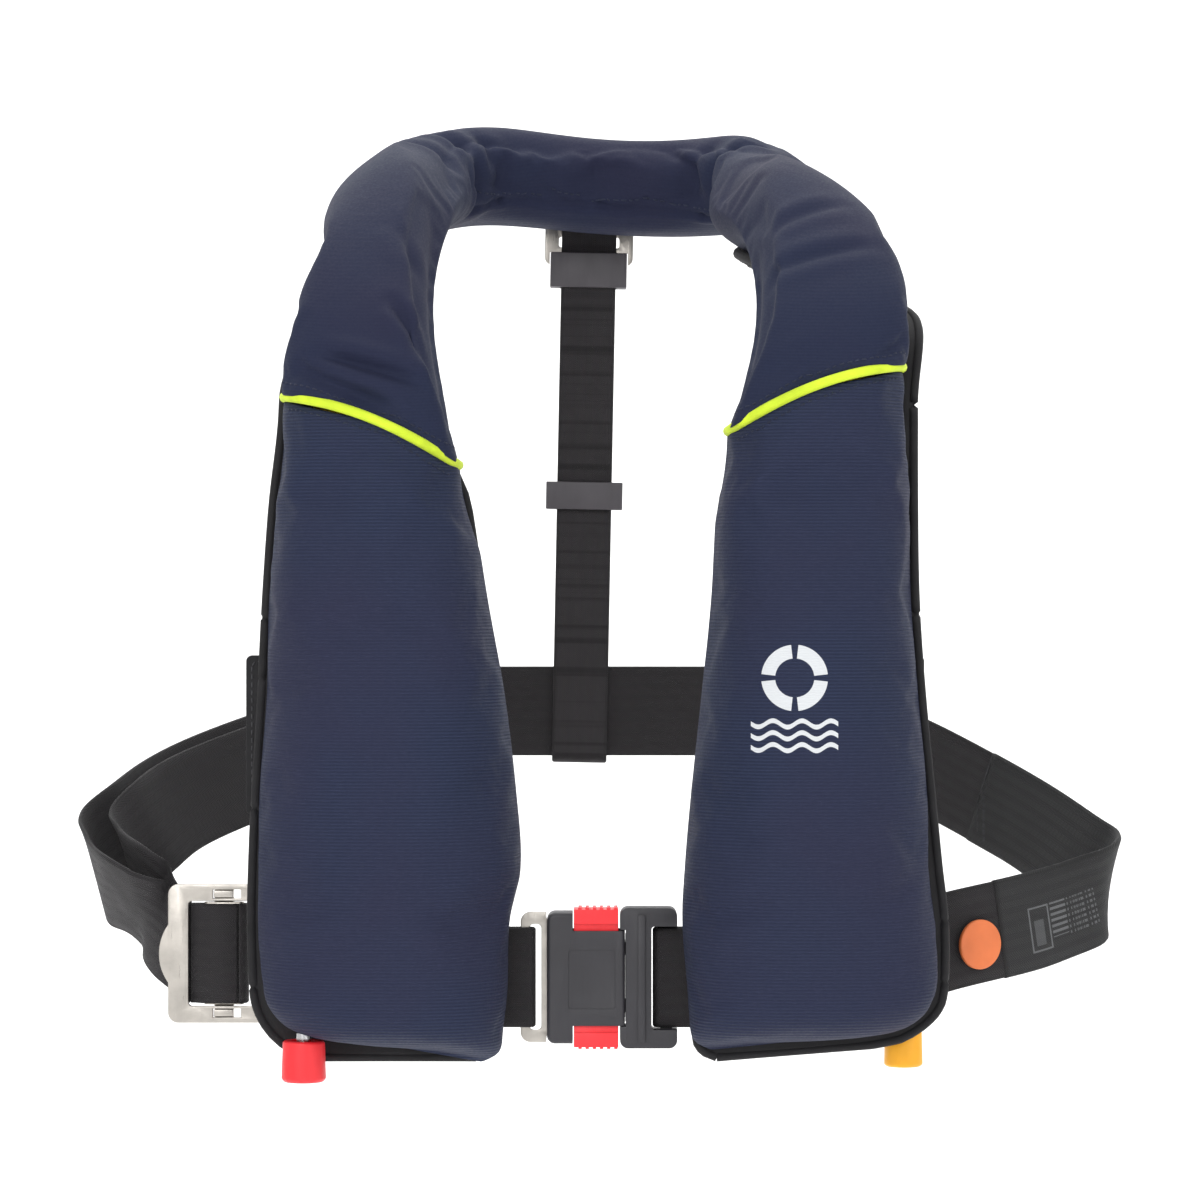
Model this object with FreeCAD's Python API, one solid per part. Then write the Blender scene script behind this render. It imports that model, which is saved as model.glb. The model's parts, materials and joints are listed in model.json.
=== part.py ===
"""Inflatable life jacket, as worn: a horseshoe of two chest lobes, two yokes and a neck collar over a folded
bladder, with a CO2 inflator, an oral inflation tube, a waist belt, a back strap and a front buckle.

Millimetres. +X is the wearer's left, +Y is behind the wearer, +Z is up. The origin is the centre of the neck
opening, level with the underside of the collar.
"""
import FreeCAD
import Part
import math
import os
from FreeCAD import Vector

RIGHT, LEFT = -1, 1                     # the wearer's side, and the sign of its X

# Fabric pouch
SKIN = 1.4                              # cover fabric with its coating and seams
BACK_PLANE_Y = -146.0                   # where the cover meets the back panel
PANEL_THICK = 1.7
PANEL_GAP = 2.1
PANEL_REAR = BACK_PLANE_Y + PANEL_GAP + PANEL_THICK
PANEL_DROP = 12.0                       # how far the panel reaches below the cover
FRONT_POWER, BACK_POWER = 2.4, 6.0      # how square the section's front and its flat back are
SEAM_GAP = 0.8                          # between two cover panels, under their piping
PIPING_R = 1.7
BLADDER_CLEAR = 2.0

# Webbing
WEB_W, WEB_T = 49.0, 2.2                # waist belt, sold as 50 mm
BACK_WEB_W = 30.0
FRONT_Y, FRONT_Z = -132.0, -380.0       # plane and mid height of the front closure
BACK_Y, BACK_Z = 120.0, -256.0          # plane and mid height of the belt behind the wearer

# Front buckle
RECEIVER = dict(x0=-26.0, x1=12.3, half_h=32.0, y0=-141.8, y1=-122.4)
TONGUE = dict(x0=9.8, x1=37.8, half_h=34.3, y0=-141.0, y1=-123.6)
PLATE_T = 3.0                           # steel webbing plate on the receiver
PLATE_BAR_X = (-39.0, -34.6)            # the plate's outer bar, inside the front strap's fold
PLATE_HALF_H = 32.0

# Belt adjuster, in a frame of its own: x runs to the wearer's right from its inner bar, y backwards
ADJ_X, ADJ_Z = -142.0, -368.5           # the inner bar
ADJ_LEN, ADJ_HALF_H, ADJ_T = 70.0, 34.0, 3.0
ADJ_WINDOW_HALF = 25.8
ADJ_BAR = (33.0, 52.5)                  # the sliding bar's span along the frame
ADJ_TRAVEL = 3.0

# Inflator, upright on its own axis in the wearer's right lobe
INF_X, INF_Y = -112.0, -163.0
HEAD = dict(x0=-128.0, x1=-96.0, y0=-176.0, y1=-150.0, z0=-390.0, z1=-340.0)
PIVOT_X, PIVOT_Z = -120.5, -372.0
LEVER_R, CAM_R, LEVER_REST = 26.4, 8.5, 30.0
CORD_X, CORD_R = -143.3, 1.2
KNOB_TOP, KNOB_H = -408.0, 20.0

# Oral inflation tube, behind the wearer's left lobe
TUBE_X, TUBE_Y = 149.0, -131.0
TUBE_R, TUBE_BORE = 7.0, 5.0
TUBE_BEND_Z, TUBE_BEND_R = -338.0, 12.0
CAP_Z0, CAP_H, CAP_R = -424.0, 20.0, 9.5

# Back strap, in a frame of its own that leans a little to the wearer's right going down
STRAP_TOP = Vector(-6.0, 0, 0)
STRAP_LEAN = 1.1


# ---------------------------------------------------------------- helpers
def save(name, *solids):
    shape = solids[0] if len(solids) == 1 else Part.Compound(list(solids))
    for solid in shape.Solids:
        if not solid.isValid() or solid.Volume <= 0:
            print("PROBLEM in", name, "valid", solid.isValid(), "volume", round(solid.Volume, 1))
    if not shape.Solids:
        raise ValueError(name + " holds no solid")
    shape.exportStep("parts/" + name + ".step")


def box(x0, x1, y0, y1, z0, z1):
    return Part.makeBox(x1 - x0, y1 - y0, z1 - z0, Vector(x0, y0, z0))


def rod(start, axis, radius, length):
    return Part.makeCylinder(radius, length, Vector(*start), Vector(*axis))


def slab(x0, x1, z0, z1, radius, y0, y1):
    """A plate in the XZ plane with rounded corners, from y0 to y1."""
    plate = box(x0, x1, y0, y1, z0, z1)
    upright = [e for e in plate.Edges if abs(e.tangentAt(e.FirstParameter).y) > 0.99]
    return plate.makeFillet(radius, upright)


def soften(solid, radius, pick):
    """Fillets the edges whose middle point satisfies pick."""
    edges = [e for e in solid.Edges if pick(e.valueAt((e.FirstParameter + e.LastParameter) / 2))]
    return solid.makeFillet(radius, edges)


def revolve(profile, centre):
    """Turns a closed (radius, height) outline round the vertical line through centre."""
    points = [Vector(centre[0] + r, centre[1], z) for r, z in profile]
    face = Part.Face(Part.makePolygon(points + points[:1]))
    return face.revolve(Vector(centre[0], centre[1], 0), Vector(0, 0, 1), 360)


def round_sweep(points, radius):
    """A round rod along a smooth curve through the points."""
    path = Part.BSplineCurve()
    path.interpolate(Points=points)
    start = path.FirstParameter
    ring = Part.Wire(Part.makeCircle(radius, path.value(start), path.tangent(start)[0]))
    return Part.Wire(path.toShape()).makePipeShell([ring], True, False)


def strap_profile(points, radii, thickness, to3d):
    """The face of a strap seen edge on: a centre line of straight runs and tangent arcs, thickened both ways."""
    runs, here = [], Vector(*points[0], 0)
    for before, corner, after, radius in zip(points, points[1:], points[2:], radii):
        c = Vector(*corner, 0)
        into = (c - Vector(*before, 0)).normalize()
        out = (Vector(*after, 0) - c).normalize()
        turn = into.getAngle(out)
        side = 1 if into.cross(out).z > 0 else -1
        cut = radius * math.tan(turn / 2)
        a, b = c - into * cut, c + out * cut
        centre = a + Vector(-into.y, into.x, 0) * side * radius
        middle = centre + ((a - centre).normalize() + (b - centre).normalize()).normalize() * radius
        runs.append(("line", here, a))
        runs.append(("arc", a, middle, b, centre))
        here = b
    runs.append(("line", here, Vector(*points[-1], 0)))

    def edge_row(offset):
        row = []
        for run in runs:
            if run[0] == "line":
                along = (run[2] - run[1]).normalize()
                shift = Vector(-along.y, along.x, 0) * offset
                ends = [run[1] + shift, run[2] + shift]
                row.append(Part.makeLine(*[to3d(p.x, p.y) for p in ends]))
                last_left = Vector(-along.y, along.x, 0)
            else:
                centre = run[4]
                outward = 1 if (run[1] - centre).dot(last_left) > 0 else -1
                moved = []
                for p in run[1:4]:
                    ray = p - centre
                    moved.append(centre + ray.normalize() * ((p - centre).Length + outward * offset))
                row.append(Part.Arc(*[to3d(p.x, p.y) for p in moved]).toShape())
        return row

    left, right = edge_row(thickness / 2), edge_row(-thickness / 2)
    ends = []
    for index, pick in ((0, 0), (-1, -1)):
        ends.append(Part.makeLine(left[index].Vertexes[pick].Point, right[index].Vertexes[pick].Point))
    edges = Part.__sortEdges__(left + right + ends)
    return Part.Face(Part.Wire(edges))


def even_knots(count, degree):
    """Knots and their multiplicities for a clamped spline through that many poles."""
    spans = count - degree
    return [degree + 1] + [1] * (spans - 1) + [degree + 1], list(range(spans + 1))


def banded(rings):
    """A smooth solid whose sharp corners run along the rings' corners; the rings are its control sections."""
    degree = min(3, len(rings) - 1)
    mults, knots = even_knots(len(rings), degree)
    faces = []
    for k in range(len(rings[0])):
        strip = [[ring[k], ring[(k + 1) % len(ring)]] for ring in rings]
        surface = Part.BSplineSurface()
        surface.buildFromPolesMultsKnots(strip, mults, [2, 2], knots, [0, 1], False, False, degree, 1)
        faces.append(surface.toShape())
    for ring in (rings[0], rings[-1]):
        faces.append(Part.Face(Part.makePolygon(ring + ring[:1])))
    return closed_solid(faces)


def closed_solid(faces):
    shell = Part.Shell(faces)
    shell.sewShape()
    solid = Part.Solid(shell)
    if solid.Volume < 0:
        solid.reverse()
    return solid


def ribbon(points, width, thickness):
    """Webbing along a line of points in space, standing as nearly upright as its direction allows."""
    rings = []
    for i, p in enumerate(points):
        along = points[min(i + 1, len(points) - 1)] - points[max(i - 1, 0)]
        if i in (0, len(points) - 1):
            along.z = 0
        along.normalize()
        up = (Vector(0, 0, 1) - along * along.z).normalize()
        flat = along.cross(up)
        rings.append([p + up * (u * width / 2) + flat * (f * thickness / 2)
                      for u, f in ((1, 1), (1, -1), (-1, -1), (-1, 1))])
    return banded(rings)


def bend_points(centre, radius, start, end, z0, z1, count):
    """Points round an upright bend, from one compass angle to another in degrees, rising evenly."""
    found = []
    for i in range(count):
        share = i / (count - 1)
        angle = math.radians(start + (end - start) * share)
        found.append(Vector(centre[0] + radius * math.cos(angle), centre[1] + radius * math.sin(angle),
                            z0 + (z1 - z0) * share))
    return found


# ---------------------------------------------------------------- fabric pouch
class Station:
    """One cross-section of the pouch: where its middle is, which way its width and its outer face look."""

    def __init__(self, centre, across, out, half_width, crown, flat_back=False, panel=None):
        self.centre = Vector(*centre)
        self.out = Vector(*out).normalize()
        w = Vector(*across)
        self.across = (w - self.out * w.dot(self.out)).normalize()
        self.half_width, self.half_thick = half_width, crown
        self.back_power = BACK_POWER if flat_back else FRONT_POWER
        self.panel = panel or (half_width * 0.6, half_width * 1.04)

    def point(self, w, n):
        return self.centre + self.across * w + self.out * n

    def mirrored(self):
        def flip(v):
            return (-v.x, v.y, v.z)
        return Station(flip(self.centre), flip(self.across), flip(self.out), self.half_width, self.half_thick,
                       self.back_power > 3, self.panel)

    def ring(self, inset, steps=9):
        """Points round the section, from the outer edge across the front and back to where it began."""
        a, b = self.half_width - inset, self.half_thick - inset
        row = []
        for i in range(2 * steps):
            angle = math.pi * i / steps
            c, s = math.cos(angle), math.sin(angle)
            power = FRONT_POWER if i <= steps else self.back_power
            w = a * math.copysign(abs(c) ** (2 / power), c)
            n = b * math.copysign(abs(s) ** (2 / power), s)
            row.append(self.point(w, n))
        return row + row[:1]

    def plate(self, thickness):
        """The section of the back panel behind the pouch."""
        inner, outer = self.panel
        near, far = -self.half_thick - PANEL_GAP, -self.half_thick - PANEL_GAP - thickness
        return [self.point(w, n) for w, n in ((-inner, near), (outer, near), (outer, far), (-inner, far))]


# height, inner edge, outer edge of the cover, crown thickness, outer edge of the black back panel
LOBES = {
    RIGHT: [(-406, 54, 153, 32, 156), (-394, 49, 160, 42, 165), (-352, 48, 163, 47, 169),
            (-318, 42, 162, 50, 168), (-270, 45, 160, 51, 166), (-225, 50, 157, 50, 162),
            (-178, 57, 154, 48, 160)],
    LEFT: [(-406, 46, 150, 32, 155), (-394, 43, 157, 42, 165), (-352, 42, 160, 47, 168),
           (-318, 42, 156, 50, 162), (-270, 46, 153, 51, 159), (-225, 51, 149, 50, 154),
           (-172, 57, 146, 48, 152)],
}
# inner and outer end (x, z) of the slanted seam between lobe and yoke, and the crown there
SEAM = {RIGHT: ((67, -131), (153, -97), 45), LEFT: ((62, -114), (147, -84), 45)}
# yoke and half collar for X > 0: centre, width direction, outer face direction, half width, half thickness
YOKE = [
    ((111, -153, -72), (1, 0, 0.10), (0, -0.93, 0.36), 38, 23),
    ((112, -122, -26), (0.97, 0, -0.25), (0, -0.76, 0.65), 34, 24),
    ((112, -78, 8), (0.9, 0, -0.42), (0.3, -0.40, 0.86), 31, 24),
    ((109, -26, 24), (0.88, 0.1, -0.45), (0.38, -0.12, 0.9), 31, 24),
    ((103, 22, 29), (0.84, 0.42, -0.34), (0.3, 0, 0.95), 29, 25),
    ((86, 62, 29), (0.58, 0.8, -0.16), (0.12, 0.1, 0.98), 27, 25.5),
]
COLLAR = [
    ((55, 84, 28), (0.26, 0.96, -0.04), (0.02, 0.04, 1), 25, 26),
    ((0, 92, 27), (0, 1, 0), (0, 0, 1), 24, 26),
]


def lobe_stations(side):
    found = []
    for z, inner, outer, crown, panel in LOBES[side]:
        middle, half = side * (inner + outer) / 2, (outer - inner) / 2
        found.append(Station((middle, BACK_PLANE_Y - crown / 2, z), (side, 0, 0), (0, -1, 0), half, crown / 2,
                             True, (half, panel - abs(middle))))
    (xi, zi), (xo, zo), crown = SEAM[side]
    half = math.hypot(xo - xi, zo - zi) / 2
    found.append(Station((side * (xi + xo) / 2, BACK_PLANE_Y - crown / 2, (zi + zo) / 2),
                         (side * (xo - xi), 0, zo - zi), (0, -1, 0), half, crown / 2, True, (half, half + 6)))
    return found


def yoke_stations(side):
    found = [Station((side * c[0], c[1], c[2]), (side * w[0], w[1], w[2]), (side * n[0], n[1], n[2]), a, b)
             for c, w, n, a, b in YOKE]
    return found


def shifted(station, distance, direction):
    """The same section moved along the pouch, for the gap at a seam."""
    moved = Station(tuple(station.centre + direction * distance), tuple(station.across), tuple(station.out),
                    station.half_width, station.half_thick, station.back_power > 3, station.panel)
    return moved


def stuffed(stations, inset=0.0):
    """A smooth solid with the stations' rings as its control sections; it ends exactly on the outer two."""
    rows = []
    for station in stations:
        ring = station.ring(inset)
        curve = Part.BSplineCurve()
        curve.interpolate(Points=ring[:-1], PeriodicFlag=True, Parameters=list(range(len(ring))))
        rows.append(curve.getPoles())
    mults, knots = even_knots(len(rows), 3)
    surface = Part.BSplineSurface()
    surface.buildFromPolesMultsKnots(rows, mults, curve.getMultiplicities(), knots, curve.getKnots(),
                                     False, True, 3, curve.Degree)
    ends = [Part.Face(Part.Wire(surface.uIso(u).toShape())) for u in surface.bounds()[:2]]
    return closed_solid([surface.toShape()] + ends)


def sleeve(stations):
    """A fabric tube through the stations, open at both ends."""
    return stuffed(stations).cut(stuffed(stations, SKIN))


def pouch():
    up = Vector(0, 0, 1)
    for side, word in ((RIGHT, "right"), (LEFT, "left")):
        lobe, yoke = lobe_stations(side), yoke_stations(side)
        cover = sleeve(lobe)
        save("cover_" + word, cover.cut(tube_hole()) if side == LEFT else cover)

        seam = shifted(lobe[-1], SEAM_GAP, up)
        save("yoke_" + word, sleeve([seam] + yoke))
        save("back_panel_" + word, back_panel(lobe, yoke, side))
        save("piping_" + word, piping(lobe[-1], side))

    collar_row = [Station(*row) for row in COLLAR]
    right = yoke_stations(RIGHT)[-1]
    left = yoke_stations(LEFT)[-1]
    gap = Vector(SEAM_GAP, 0, 0)
    stations = [shifted(right, 1, gap), collar_row[0].mirrored(), collar_row[1], collar_row[0],
                shifted(left, -1, gap)]
    # the middle station is its own mirror image, so that the outline runs the same way on both sides
    save("collar_cover", sleeve(stations))


def back_panel(lobe, yoke, side):
    """The black panel on the wearer's side, with the hole that the oral tube passes through."""
    lowest = shifted(lobe[0], PANEL_DROP, Vector(0, 0, -1))
    panel = banded([s.plate(PANEL_THICK) for s in [lowest] + lobe + yoke[:4]])
    return panel.cut(tube_hole()) if side == LEFT else panel


def tube_hole():
    return rod((TUBE_X, -160, TUBE_BEND_Z + TUBE_BEND_R), (0, 1, 0), TUBE_R + 0.5, 40)


def piping(seam, side):
    """A round piping in the seam between lobe and yoke, across the front of the pouch."""
    row, steps = [], 10
    reach = PIPING_R + 0.25
    for i in range(steps + 1):
        angle = math.pi * (0.04 + 0.92 * i / steps)
        c, s = math.cos(angle), math.sin(angle)
        w = (seam.half_width + reach) * math.copysign(abs(c) ** (2 / FRONT_POWER), c)
        row.append(seam.point(w, (seam.half_thick + reach) * s ** (2 / FRONT_POWER)) + Vector(0, 0, SEAM_GAP / 2))
    return round_sweep(row, PIPING_R)


def bladder():
    """The inflatable chamber, folded into the whole horseshoe, with bays for the hardware."""
    inset = SKIN + BLADDER_CLEAR
    right, left = lobe_stations(RIGHT), lobe_stations(LEFT)
    ry, ly = yoke_stations(RIGHT), yoke_stations(LEFT)
    collar_row = [Station(*row) for row in COLLAR]
    groups = [right, [right[-1]] + ry, [ry[-1], collar_row[0].mirrored(), collar_row[1], collar_row[0], ly[-1]],
              [left[-1]] + ly, left]
    solids = [stuffed(row, inset) for row in groups]
    bay = box(-151.5, -91, -181, -140, -430, -212)
    whistle_bay = box(66, 112, -172, -140, -392, -262)
    solids[0] = solids[0].cut(bay)
    solids[4] = solids[4].cut(whistle_bay)
    whole = solids[0].fuse(solids[1:])
    if len(whole.Solids) == 1 and whole.isValid():
        save("bladder", whole)
    else:
        save("bladder", *solids)


# ---------------------------------------------------------------- inflator
def cylinder_and_seal():
    """The CO2 cylinder, neck down in the head, and the foil disc that the pin pierces."""
    neck_r, bore_r, body_r, wall = 6.35, 3.2, 15.5, 1.8
    mouth, shoulder, body, top = -351.4, -336.0, -322.0, -218.0
    outline = [(bore_r, mouth), (neck_r, mouth), (neck_r, shoulder), (body_r, body), (body_r, top - 9),
               (body_r - 3, top - 3.5), (body_r - 8, top - 0.8), (0, top), (0, top - wall),
               (body_r - 8.5, top - 2.8), (body_r - 3 - wall, top - 6), (body_r - wall, top - 11),
               (body_r - wall, body + 1.2), (bore_r, shoulder + 2)]
    save("co2_cylinder", revolve(outline, (INF_X, INF_Y)))
    save("cylinder_seal_disc", rod((INF_X, INF_Y, mouth - 0.5), (0, 0, 1), neck_r - 0.4, 0.45))


def inflator_head():
    h = HEAD
    block = box(h["x0"], h["x1"], h["y0"], h["y1"], h["z0"], h["z1"])
    block = soften(block, 6, lambda p: abs(p.z - (h["z0"] + h["z1"]) / 2) < 0.1)
    neck_seat = rod((INF_X, INF_Y, -352), (0, 0, 1), 6.45, 20)
    chamber = rod((INF_X, INF_Y, -372), (0, 0, 1), 5.5, 21)
    cartridge_bore = rod((INF_X, INF_Y, -393), (0, 0, 1), 9.6, 7.2)
    slot = box(-131, -105.5, INF_Y - 4.2, INF_Y + 4.2, -384.5, -359)
    axle_hole = rod((PIVOT_X, -190, PIVOT_Z), (0, 1, 0), 1.5, 60)
    gas_way = rod((INF_X, -190, -348), (0, 1, 0), 2.5, 27)
    body = block.cut(neck_seat.fuse([chamber, cartridge_bore, slot, axle_hole, gas_way]))
    rim = rod((INF_X, INF_Y, h["z1"]), (0, 0, 1), 11, 4).cut(neck_seat)
    save("inflator_head", body.fuse(rim))
    save("lever_axle", rod((PIVOT_X, h["y0"] + 0.5, PIVOT_Z), (0, 1, 0), 1.45, h["y1"] - h["y0"] - 1))

    nut = Part.Face(Part.makePolygon([Vector(INF_X + 10 * math.cos(math.radians(a)), h["y0"] - 3.6,
                                             -348 + 10 * math.sin(math.radians(a)))
                                      for a in range(30, 391, 60)])).extrude(Vector(0, 3.4, 0))
    save("manifold_nut", nut.cut(rod((INF_X, -190, -348), (0, 1, 0), 4.0, 20)))

    save("cartridge_cap", revolve([(0, -402), (11.6, -402), (12.6, -401), (12.6, -390.3), (11.2, -390.3),
                                   (11.2, -399.8), (0, -399.8)], (INF_X, INF_Y)))
    save("water_cartridge", revolve([(3, -399.5), (10.8, -399.5), (10.8, -392), (9.2, -390.5), (9.2, -386.4),
                                     (3, -386.4)], (INF_X, INF_Y)))


def lever():
    """Lies on the axle: a long arm with an open fork for the cord, and a short cam under the firing pin."""
    half_w, thick = 3.8, 4.0
    hub = rod((0, -half_w, 0), (0, 1, 0), 4.6, 2 * half_w)
    arm = box(-LEVER_R - 3, 0, -half_w, half_w, -thick / 2, thick / 2)
    cam = box(0, CAM_R, -half_w, half_w, -2.4, 1.2)
    nose = rod((CAM_R, -half_w, 0), (0, 1, 0), 2.5, 2 * half_w)
    shape = hub.fuse([arm, cam, nose])
    shape = shape.cut(rod((0, -10, 0), (0, 1, 0), 1.52, 20))
    shape = shape.cut(box(-LEVER_R - 10, -LEVER_R + 7.5, -1.9, 1.9, -5, 5))
    # +30 degrees by the right-hand rule about Y lifts the arm that points to -X
    shape.rotate(Vector(0, 0, 0), Vector(0, 1, 0), LEVER_REST)
    shape.translate(Vector(PIVOT_X, INF_Y, PIVOT_Z))
    save("manual_lever", shape)


def firing_pin():
    low = PIVOT_Z - CAM_R * math.sin(math.radians(LEVER_REST)) + 2.5 + 0.6
    save("firing_pin", revolve([(0, low), (2, low), (2, low + 5), (5.2, low + 5), (5.2, low + 7), (1.5, low + 7),
                                (1.5, -363), (0, -361)], (INF_X, INF_Y)))
    turns, wire_r, coil_r, top = 5, 0.4, 4.6, -352.7
    low_end = low + 7 + 0.15 + wire_r
    rise = top - wire_r - low_end
    coil = [Vector(INF_X + coil_r * math.cos(2 * math.pi * turns * share),
                   INF_Y + coil_r * math.sin(2 * math.pi * turns * share), low_end + rise * share)
            for share in (i / (16 * turns) for i in range(16 * turns + 1))]
    save("firing_spring", round_sweep(coil, wire_r))


def pull_cord_and_knob():
    knot_z = PIVOT_Z + (PIVOT_X - CORD_X) * math.tan(math.radians(LEVER_REST)) + 6.4
    cord = rod((CORD_X, INF_Y, KNOB_TOP - 9), (0, 0, 1), CORD_R, knot_z - KNOB_TOP + 9)
    knot = Part.makeSphere(3.2, Vector(CORD_X, INF_Y, knot_z))
    stop = Part.makeSphere(2.6, Vector(CORD_X, INF_Y, KNOB_TOP - 10.5))
    save("pull_cord", cord.fuse([knot, stop]))
    base = KNOB_TOP - KNOB_H
    save("pull_knob", revolve([(0, base), (9.4, base), (10.8, base + 1.6), (10.2, KNOB_TOP - 1), (9.4, KNOB_TOP),
                               (6.4, KNOB_TOP), (6.0, KNOB_TOP - 3.2), (CORD_R + 0.2, KNOB_TOP - 3.2),
                               (CORD_R + 0.2, KNOB_TOP - 7.4), (3.2, KNOB_TOP - 7.4), (3.2, KNOB_TOP - 14),
                               (0, KNOB_TOP - 14)], (CORD_X, INF_Y)))
    save("knob_ferrule", revolve([(CORD_R + 0.05, KNOB_TOP - 3.0), (3.6, KNOB_TOP - 3.0), (3.6, KNOB_TOP + 3.4),
                                  (2.8, KNOB_TOP + 4.6), (CORD_R + 0.05, KNOB_TOP + 4.6)], (CORD_X, INF_Y)))


# ---------------------------------------------------------------- oral tube and whistle
def oral_tube():
    top_z = TUBE_BEND_Z + TUBE_BEND_R
    bottom = CAP_Z0 + 9.0
    flange_y = BACK_PLANE_Y - 1.6

    def swept(radius):
        upright = rod((TUBE_X, TUBE_Y, bottom), (0, 0, 1), radius, TUBE_BEND_Z - bottom)
        ring = Part.makeCircle(radius, Vector(TUBE_X, TUBE_Y, TUBE_BEND_Z), Vector(0, 0, 1))
        bend = Part.Face(Part.Wire(ring)).revolve(Vector(TUBE_X, TUBE_Y - TUBE_BEND_R, TUBE_BEND_Z),
                                                  Vector(1, 0, 0), 90)
        level = rod((TUBE_X, TUBE_Y - TUBE_BEND_R, top_z), (0, -1, 0), radius,
                    TUBE_Y - TUBE_BEND_R - flange_y)
        return upright.fuse([bend, level])

    save("oral_tube", swept(TUBE_R).cut(swept(TUBE_BORE)))
    seat = CAP_Z0 + 20.0
    save("oral_valve", revolve([(1.6, bottom - 6), (TUBE_R - 1.2, bottom - 6), (TUBE_R, bottom - 4.6),
                                (TUBE_R, bottom - 0.05), (TUBE_BORE - 0.05, bottom - 0.05),
                                (TUBE_BORE - 0.05, seat), (2.2, seat), (2.2, seat - 6), (1.6, seat - 6)],
                               (TUBE_X, TUBE_Y)))
    save("valve_poppet", revolve([(0, bottom - 5), (1.2, bottom - 5), (1.2, seat + 0.3), (3.6, seat + 0.3),
                                  (3.6, seat + 1.8), (0, seat + 1.8)], (TUBE_X, TUBE_Y)))
    save("oral_tube_cap", revolve([(0, CAP_Z0), (CAP_R - 1.2, CAP_Z0), (CAP_R, CAP_Z0 + 1.2),
                                   (CAP_R - 0.4, CAP_Z0 + CAP_H), (TUBE_R + 0.4, CAP_Z0 + CAP_H),
                                   (TUBE_R + 0.4, CAP_Z0 + 2.6), (0, CAP_Z0 + 2.6)], (TUBE_X, TUBE_Y)))
    loop = box(TUBE_X - 9.4, TUBE_X + 9.4, PANEL_REAR + 0.1, TUBE_Y + 8.4, -372, -356)
    loop = soften(loop, 5, lambda p: abs(p.z + 364) < 0.1 and p.y > TUBE_Y)
    bore = rod((TUBE_X, TUBE_Y, -380), (0, 0, 1), TUBE_R + 0.15, 40)
    gap = box(TUBE_X - TUBE_R - 0.15, TUBE_X + TUBE_R + 0.15, PANEL_REAR + 1.3, TUBE_Y, -380, -340)
    save("tube_keeper_loop", loop.cut(bore.fuse(gap)))


def whistle_and_lifting_loop():
    body = slab(70, 108, -306, -290, 4, -170, -158)
    chamber = box(73, 92, -168.5, -159.5, -303.5, -292.5)
    mouth = box(89, 112, -166, -162, -302, -294)
    sound_slot = box(80, 86, -175, -164, -302, -294)
    ear = slab(66.5, 76, -298, -290, 2.5, -165, -162).cut(rod((68.9, -170, -294), (0, 1, 0), 1.4, 12))
    save("signal_whistle", body.cut(chamber.fuse([mouth, sound_slot])).fuse(ear.cut(chamber)))

    def place(x, z):
        return Vector(0, x, z)
    path = [(-157, -386), (-157, -312), (-151, -312), (-151, -386)]
    face = strap_profile(path, [2.9, 2.9], WEB_T, place)
    save("lifting_loop", face.extrude(Vector(25, 0, 0)).translated(Vector(76, 0, 0)))


# ---------------------------------------------------------------- front buckle
def buckle():
    r, z = RECEIVER, FRONT_Z
    body = slab(r["x0"], r["x1"], z - r["half_h"], z + r["half_h"], 4, r["y0"], r["y1"])
    body = soften(body, 2.2, lambda p: abs(p.y - r["y0"]) < 0.01 and p.x < r["x1"] - 0.5)
    mouth = box(-20, r["x1"] + 1, -138, -127, z - 27, z + 27)
    label_recess = slab(-15.5, 7.5, z - 15, z + 14, 1.5, r["y0"] - 1, r["y0"] + 0.7)
    body = body.cut(mouth).cut(label_recess)
    for sign in (1, -1):
        low, high = sorted((z + sign * 23.2, z + sign * 40))
        body = body.cut(box(-13.4, r["x1"] + 1, r["y0"] - 1, r["y1"] + 1, low, high))
        low, high = sorted((z + sign * 19, z + sign * 24))
        body = body.cut(box(-13.4, r["x1"] + 1, -140.6, -124.6, low, high))
    plate_slot = box(r["x0"] - 1, -22, -133.6, -130.4, z - 29, z + 29)
    save("buckle_receiver", body.cut(plate_slot))

    x0, x1 = PLATE_BAR_X
    plate = slab(x0, -22.2, z - PLATE_HALF_H, z + PLATE_HALF_H, 5, FRONT_Y - 1.5, FRONT_Y + 1.5)
    window = slab(x1, -28.8, z - 26, z + 26, 2.2, -140, -120)
    tail_trim = box(r["x0"] - 0.3, 0, -140, -120, z + 28.8, z + 40)
    other_trim = box(r["x0"] - 0.3, 0, -140, -120, z - 40, z - 28.8)
    save("receiver_webbing_plate", plate.cut(window.fuse([tail_trim, other_trim])))

    t = TONGUE
    frame = slab(t["x0"], t["x1"], z - t["half_h"], z + t["half_h"], 4, t["y0"], t["y1"])
    frame = frame.cut(box(t["x0"] - 1, r["x1"] + 0.35, -150, -110, z - 23.6, z + 23.6))
    window = slab(25.2, 38.8, z - 25.3, z + 25.3, 1.5, -150, -110)
    frame = frame.cut(window)
    rib = box(18.6, 22.0, t["y0"] - 1.6, t["y0"] + 1, z - 31, z + 31)
    bar = box(29.5, 35.5, FRONT_Y - 2, FRONT_Y + 2, z - 26.5, z + 26.5)
    prongs = [box(-18, 14, -137, -128, z + s * 14 - 3, z + s * 14 + 3) for s in (1, -1)]
    save("buckle_tongue", frame.fuse([rib, bar] + prongs))

    for sign, word in ((1, "upper"), (-1, "lower")):
        save("release_button_" + word, release_button(z, sign))
        save("latch_spring_" + word, latch_spring(z, sign))


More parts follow.
